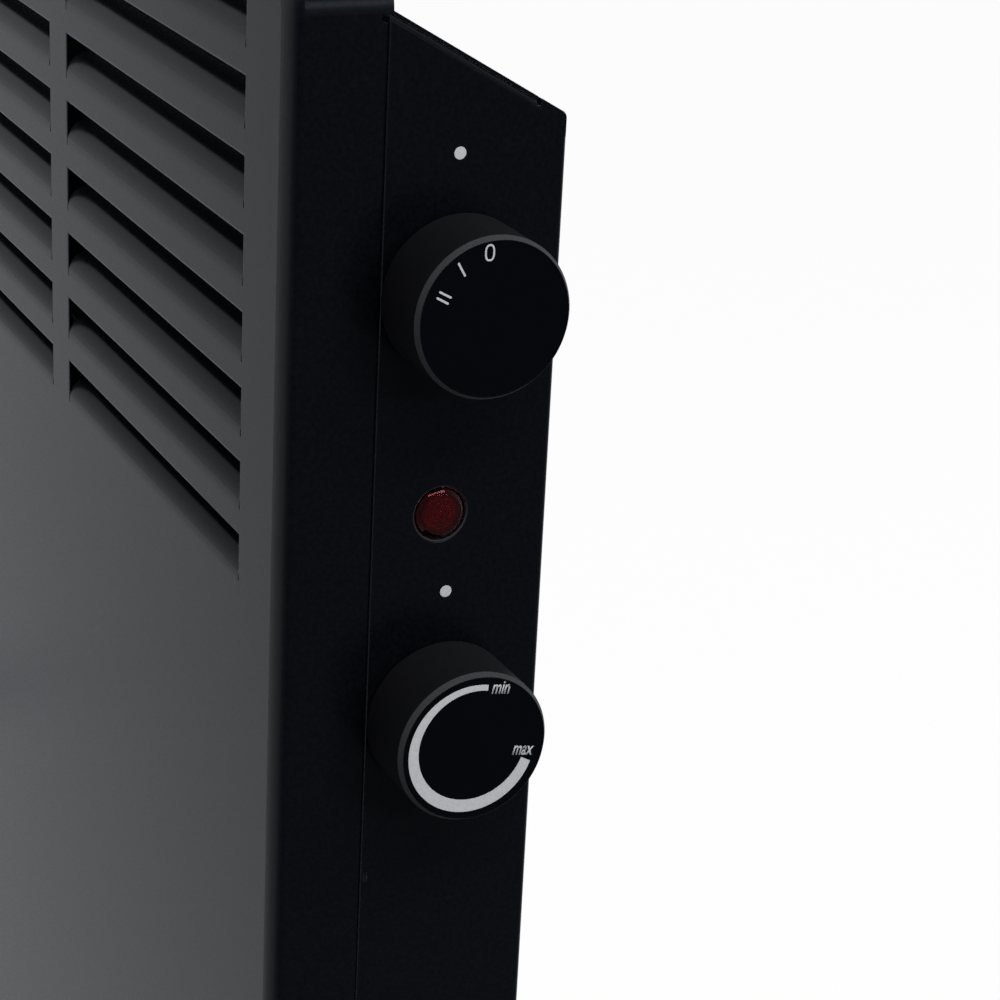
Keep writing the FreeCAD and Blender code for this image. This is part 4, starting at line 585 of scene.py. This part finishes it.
# The marks on the selector, in millimetres from its axis
NOUGHT_PLACE = (-2.05, 15.43)
NOUGHT_OUTER = (1.21 * MM, 1.94 * MM)
NOUGHT_INNER = (0.78 * MM, 1.51 * MM)
STROKE_WIDTH = 0.5 * MM
STROKES = (
    ("mark_I", (-9.42, 13.5), (-7.85, 10.72)),
    ("mark_II_a", (-13.6, 7.42), (-11.03, 5.99)),
    ("mark_II_b", (-14.21, 6.12), (-11.67, 4.68)),
)

# The thermostat's scale: its two edges' centres and radii in millimetres, and their ends in
# degrees. The inner edge's radius starts larger, so the scale starts narrow.
SCALE_POINTS = 132
SCALE_OUTER_CENTRE = (-0.5, 0.0)
SCALE_OUTER_RADIUS = 16.3
SCALE_OUTER_ENDS = (-12.1, 249.9)
SCALE_INNER_CENTRE = (-0.5, 0.65)
SCALE_INNER_RADIUS = 13.75
SCALE_INNER_ENDS = (-13.4, 249.2)
SCALE_TAPER = 0.45
SCALE_TAPER_POINTS = 35

# The thermostat's words: name, text, place in millimetres, turn in degrees and narrowing
WORD_HEIGHT = 4.8 * MM
WORD_SHEAR = 0.14
WORD_WEIGHT = 0.017
WORD_RESOLUTION = 6
WORD_WELD = 1e-5
WORDS = (
    ("mark_min", "min", (5.95, 13.3), -8.2, 0.66),
    ("mark_max", "max", (12.4, -3.6), -9.5, 0.64),
)

# The index dots on the side panel: name, and y and z in millimetres
DOT_RADIUS = 1.47 * MM
DOT_POINTS = 48
DOTS = (("dot_selector", 7.5, 397.1), ("dot_thermostat", 8.6, 291.2))


def make_nought(work):
    """The selector's 0."""
    centre = on_knob(SELECTOR_Z, NOUGHT_PLACE)
    band(work, oval(centre, *NOUGHT_INNER), oval(centre, *NOUGHT_OUTER), FACE_X, True)


def make_scale(work):
    """The thermostat's arc."""
    centre = on_knob(THERMOSTAT_Z, SCALE_OUTER_CENTRE)
    outer = around(centre, [SCALE_OUTER_RADIUS * MM] * SCALE_POINTS, *SCALE_OUTER_ENDS)
    radii = [(SCALE_INNER_RADIUS + SCALE_TAPER * max(0.0, 1 - k / SCALE_TAPER_POINTS)) * MM
             for k in range(SCALE_POINTS)]
    inner = around(on_knob(THERMOSTAT_Z, SCALE_INNER_CENTRE), radii, *SCALE_INNER_ENDS)
    band(work, inner, outer, FACE_X, False)


def letter_mesh(name, text):
    """A word as a flat mesh, one unit high."""
    data = bpy.data.curves.new(name, "FONT")
    data.body = text
    data.align_x = "CENTER"
    data.size = 1.0
    data.shear = WORD_SHEAR
    data.offset = WORD_WEIGHT
    data.resolution_u = WORD_RESOLUTION
    letters = bpy.data.objects.new(name + "_letters", data)
    scene.collection.objects.link(letters)
    bpy.context.view_layer.update()
    shaped = letters.evaluated_get(bpy.context.evaluated_depsgraph_get())
    mesh = bpy.data.meshes.new_from_object(shaped)
    bpy.data.objects.remove(letters)
    bpy.data.curves.remove(data)
    return mesh


def add_word(name, text, place, turn, narrow, material):
    """A printed word in narrow slanted letters."""
    mesh = letter_mesh(name, text)
    y, z = on_knob(THERMOSTAT_Z, place)
    c, s = math.cos(math.radians(turn)), math.sin(math.radians(turn))

    def make(work):
        work.from_mesh(mesh)
        bmesh.ops.remove_doubles(work, verts=work.verts, dist=WORD_WELD)
        grown = bmesh.ops.extrude_face_region(work, geom=work.faces[:])
        moved = [g for g in grown["geom"] if isinstance(g, bmesh.types.BMVert)]
        bmesh.ops.translate(work, verts=moved, vec=(0, 0, 1.0))
        for v in work.verts:
            across, up = v.co.x * WORD_HEIGHT * narrow, v.co.y * WORD_HEIGHT
            x = FACE_X + INK_LIFT + v.co.z * INK_HEIGHT
            v.co = (x, y + across * c - up * s, z + across * s + up * c)

    new_piece(name, make, "thermostat", material)
    bpy.data.meshes.remove(mesh)


def add_prints(material):
    """The selector's 0, I and II, the thermostat's scale and words, and the index dots."""

    def add_pad(name, outline, x, body):
        new_piece(name, lambda work: pad(work, outline, x), body, material)

    new_piece("mark_0", make_nought, "selector", material)
    for name, start, stop in STROKES:
        ends = [on_knob(SELECTOR_Z, place) for place in (start, stop)]
        add_pad(name, stadium(*ends, STROKE_WIDTH), FACE_X, "selector")
    new_piece("scale_arc", make_scale, "thermostat", material)
    for row in WORDS:
        add_word(*row, material)
    last = 360.0 * (DOT_POINTS - 1) / DOT_POINTS
    for name, y, z in DOTS:
        outline = around((y * MM, z * MM), [DOT_RADIUS] * DOT_POINTS, 0.0, last)
        add_pad(name, outline, PANEL_X, "casing")


# The lamp's lens. Its shoulder goes outwards from the face in steps of (millimetres, degrees down).
LENS_LOW, LENS_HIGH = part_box("lamp_lens")
LENS_FACE_THICKNESS = 1.2 * MM
LENS_POCKET_X = LENS_HIGH.x - LENS_FACE_THICKNESS
LENS_POCKET_RADIUS = 4.6 * MM
LENS_FACE_RADIUS = 4.9 * MM
LENS_FLANGE_RADIUS = 8.5 * MM
LENS_FLANGE = 1.5 * MM
LENS_SEGMENTS = 144
LENS_SHARP_ANGLE = math.radians(30)
LENS_SHOULDER = [(0.06, angle) for angle in (4, 12, 20, 29)]
LENS_SHOULDER += [(0.185, 33 + 13 * k / 7) for k in range(8)]
LENS_SHOULDER += [(0.05, angle) for angle in (52, 62, 73, 84)]

# The cut pattern behind the lens's face: a disc with a grid of small pyramids
FACET_GAP = 0.25 * MM
FACET_DISC = 0.5 * MM
FACET_RADIUS = 4.1 * MM
FACET_SEGMENTS = 64
FACET_PITCH = 0.5 * MM
FACET_RISE = 0.2 * MM
FACET_SINK = 0.02 * MM
FACET_WIDTH_SHARE = 0.96
FACET_MARGIN_SHARE = 0.8


def lamp_ring(work, x, radius, count):
    """A ring of points round the lamp's axis."""
    angles = [2 * math.pi * k / count for k in range(count)]
    return [work.verts.new((x, LAMP_Y + radius * math.cos(a), LAMP_Z + radius * math.sin(a)))
            for a in angles]


def make_lens(work):
    """The lens as a turned form, from the middle of its face round to its pocket."""
    x, radius = LENS_HIGH.x, LENS_FACE_RADIUS
    outline = [(x, radius)]
    for length, angle in LENS_SHOULDER:
        x -= length * MM * math.sin(math.radians(angle))
        radius += length * MM * math.cos(math.radians(angle))
        outline.append((x, radius))
    seat, back = LENS_LOW.x + LENS_FLANGE, LENS_LOW.x
    outline += [(seat, radius), (seat, LENS_FLANGE_RADIUS), (back, LENS_FLANGE_RADIUS),
                (back, LENS_POCKET_RADIUS), (LENS_POCKET_X, LENS_POCKET_RADIUS)]
    rings = [lamp_ring(work, *point, LENS_SEGMENTS) for point in outline]
    for one, other in zip(rings, rings[1:]):
        bridge(work, one, other)
    work.faces.new(rings[0])
    work.faces.new(rings[-1])


def add_lens(material):
    """The lamp's lens with a broad sloping shoulder, in place of the plain one."""
    piece = new_piece("lamp_lens_moulding", make_lens, "casing", material)
    for polygon in piece.data.polygons:
        polygon.use_smooth = True
    piece.data.set_sharp_from_angle(angle=LENS_SHARP_ANGLE)
    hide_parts("lamp_lens")


def make_facets(work):
    """The disc and its pyramids."""
    front = LENS_POCKET_X - FACET_GAP
    low = lamp_ring(work, front - FACET_DISC, FACET_RADIUS, FACET_SEGMENTS)
    top = lamp_ring(work, front, FACET_RADIUS, FACET_SEGMENTS)
    capped(work, low, top)
    half = FACET_PITCH / 2 * FACET_WIDTH_SHARE
    steps = int(FACET_RADIUS / FACET_PITCH) + 1
    places = [k * FACET_PITCH for k in range(-steps, steps + 1)]
    for across in places:
        for up in places:
            if math.hypot(across, up) > FACET_RADIUS - FACET_MARGIN_SHARE * FACET_PITCH:
                continue
            y, z = LAMP_Y + across, LAMP_Z + up
            base = [work.verts.new((front - FACET_SINK, y + a * half, z + b * half))
                    for a, b in ((-1, -1), (1, -1), (1, 1), (-1, 1))]
            tip = work.verts.new((front + FACET_RISE, y, z))
            for k in range(4):
                work.faces.new((base[k], base[(k + 1) % 4], tip))
            work.faces.new(list(reversed(base)))


add_camera()
add_world()
add_floor()
for row in LIGHTS:
    add_light(*row)

finishes = make_finishes()
for part in frame["record"]["subparts"]:
    mesh = frame["nodes"][part["node"]].data
    mesh.materials.clear()
    mesh.materials.append(finishes[part["material_slot"]])

add_prints(ink("print_ink"))
add_lens(finishes["red_lens"])
new_piece("lamp_facets", make_facets, "casing", lamp_red("lamp_red"))

scene.view_settings.view_transform = "Standard"
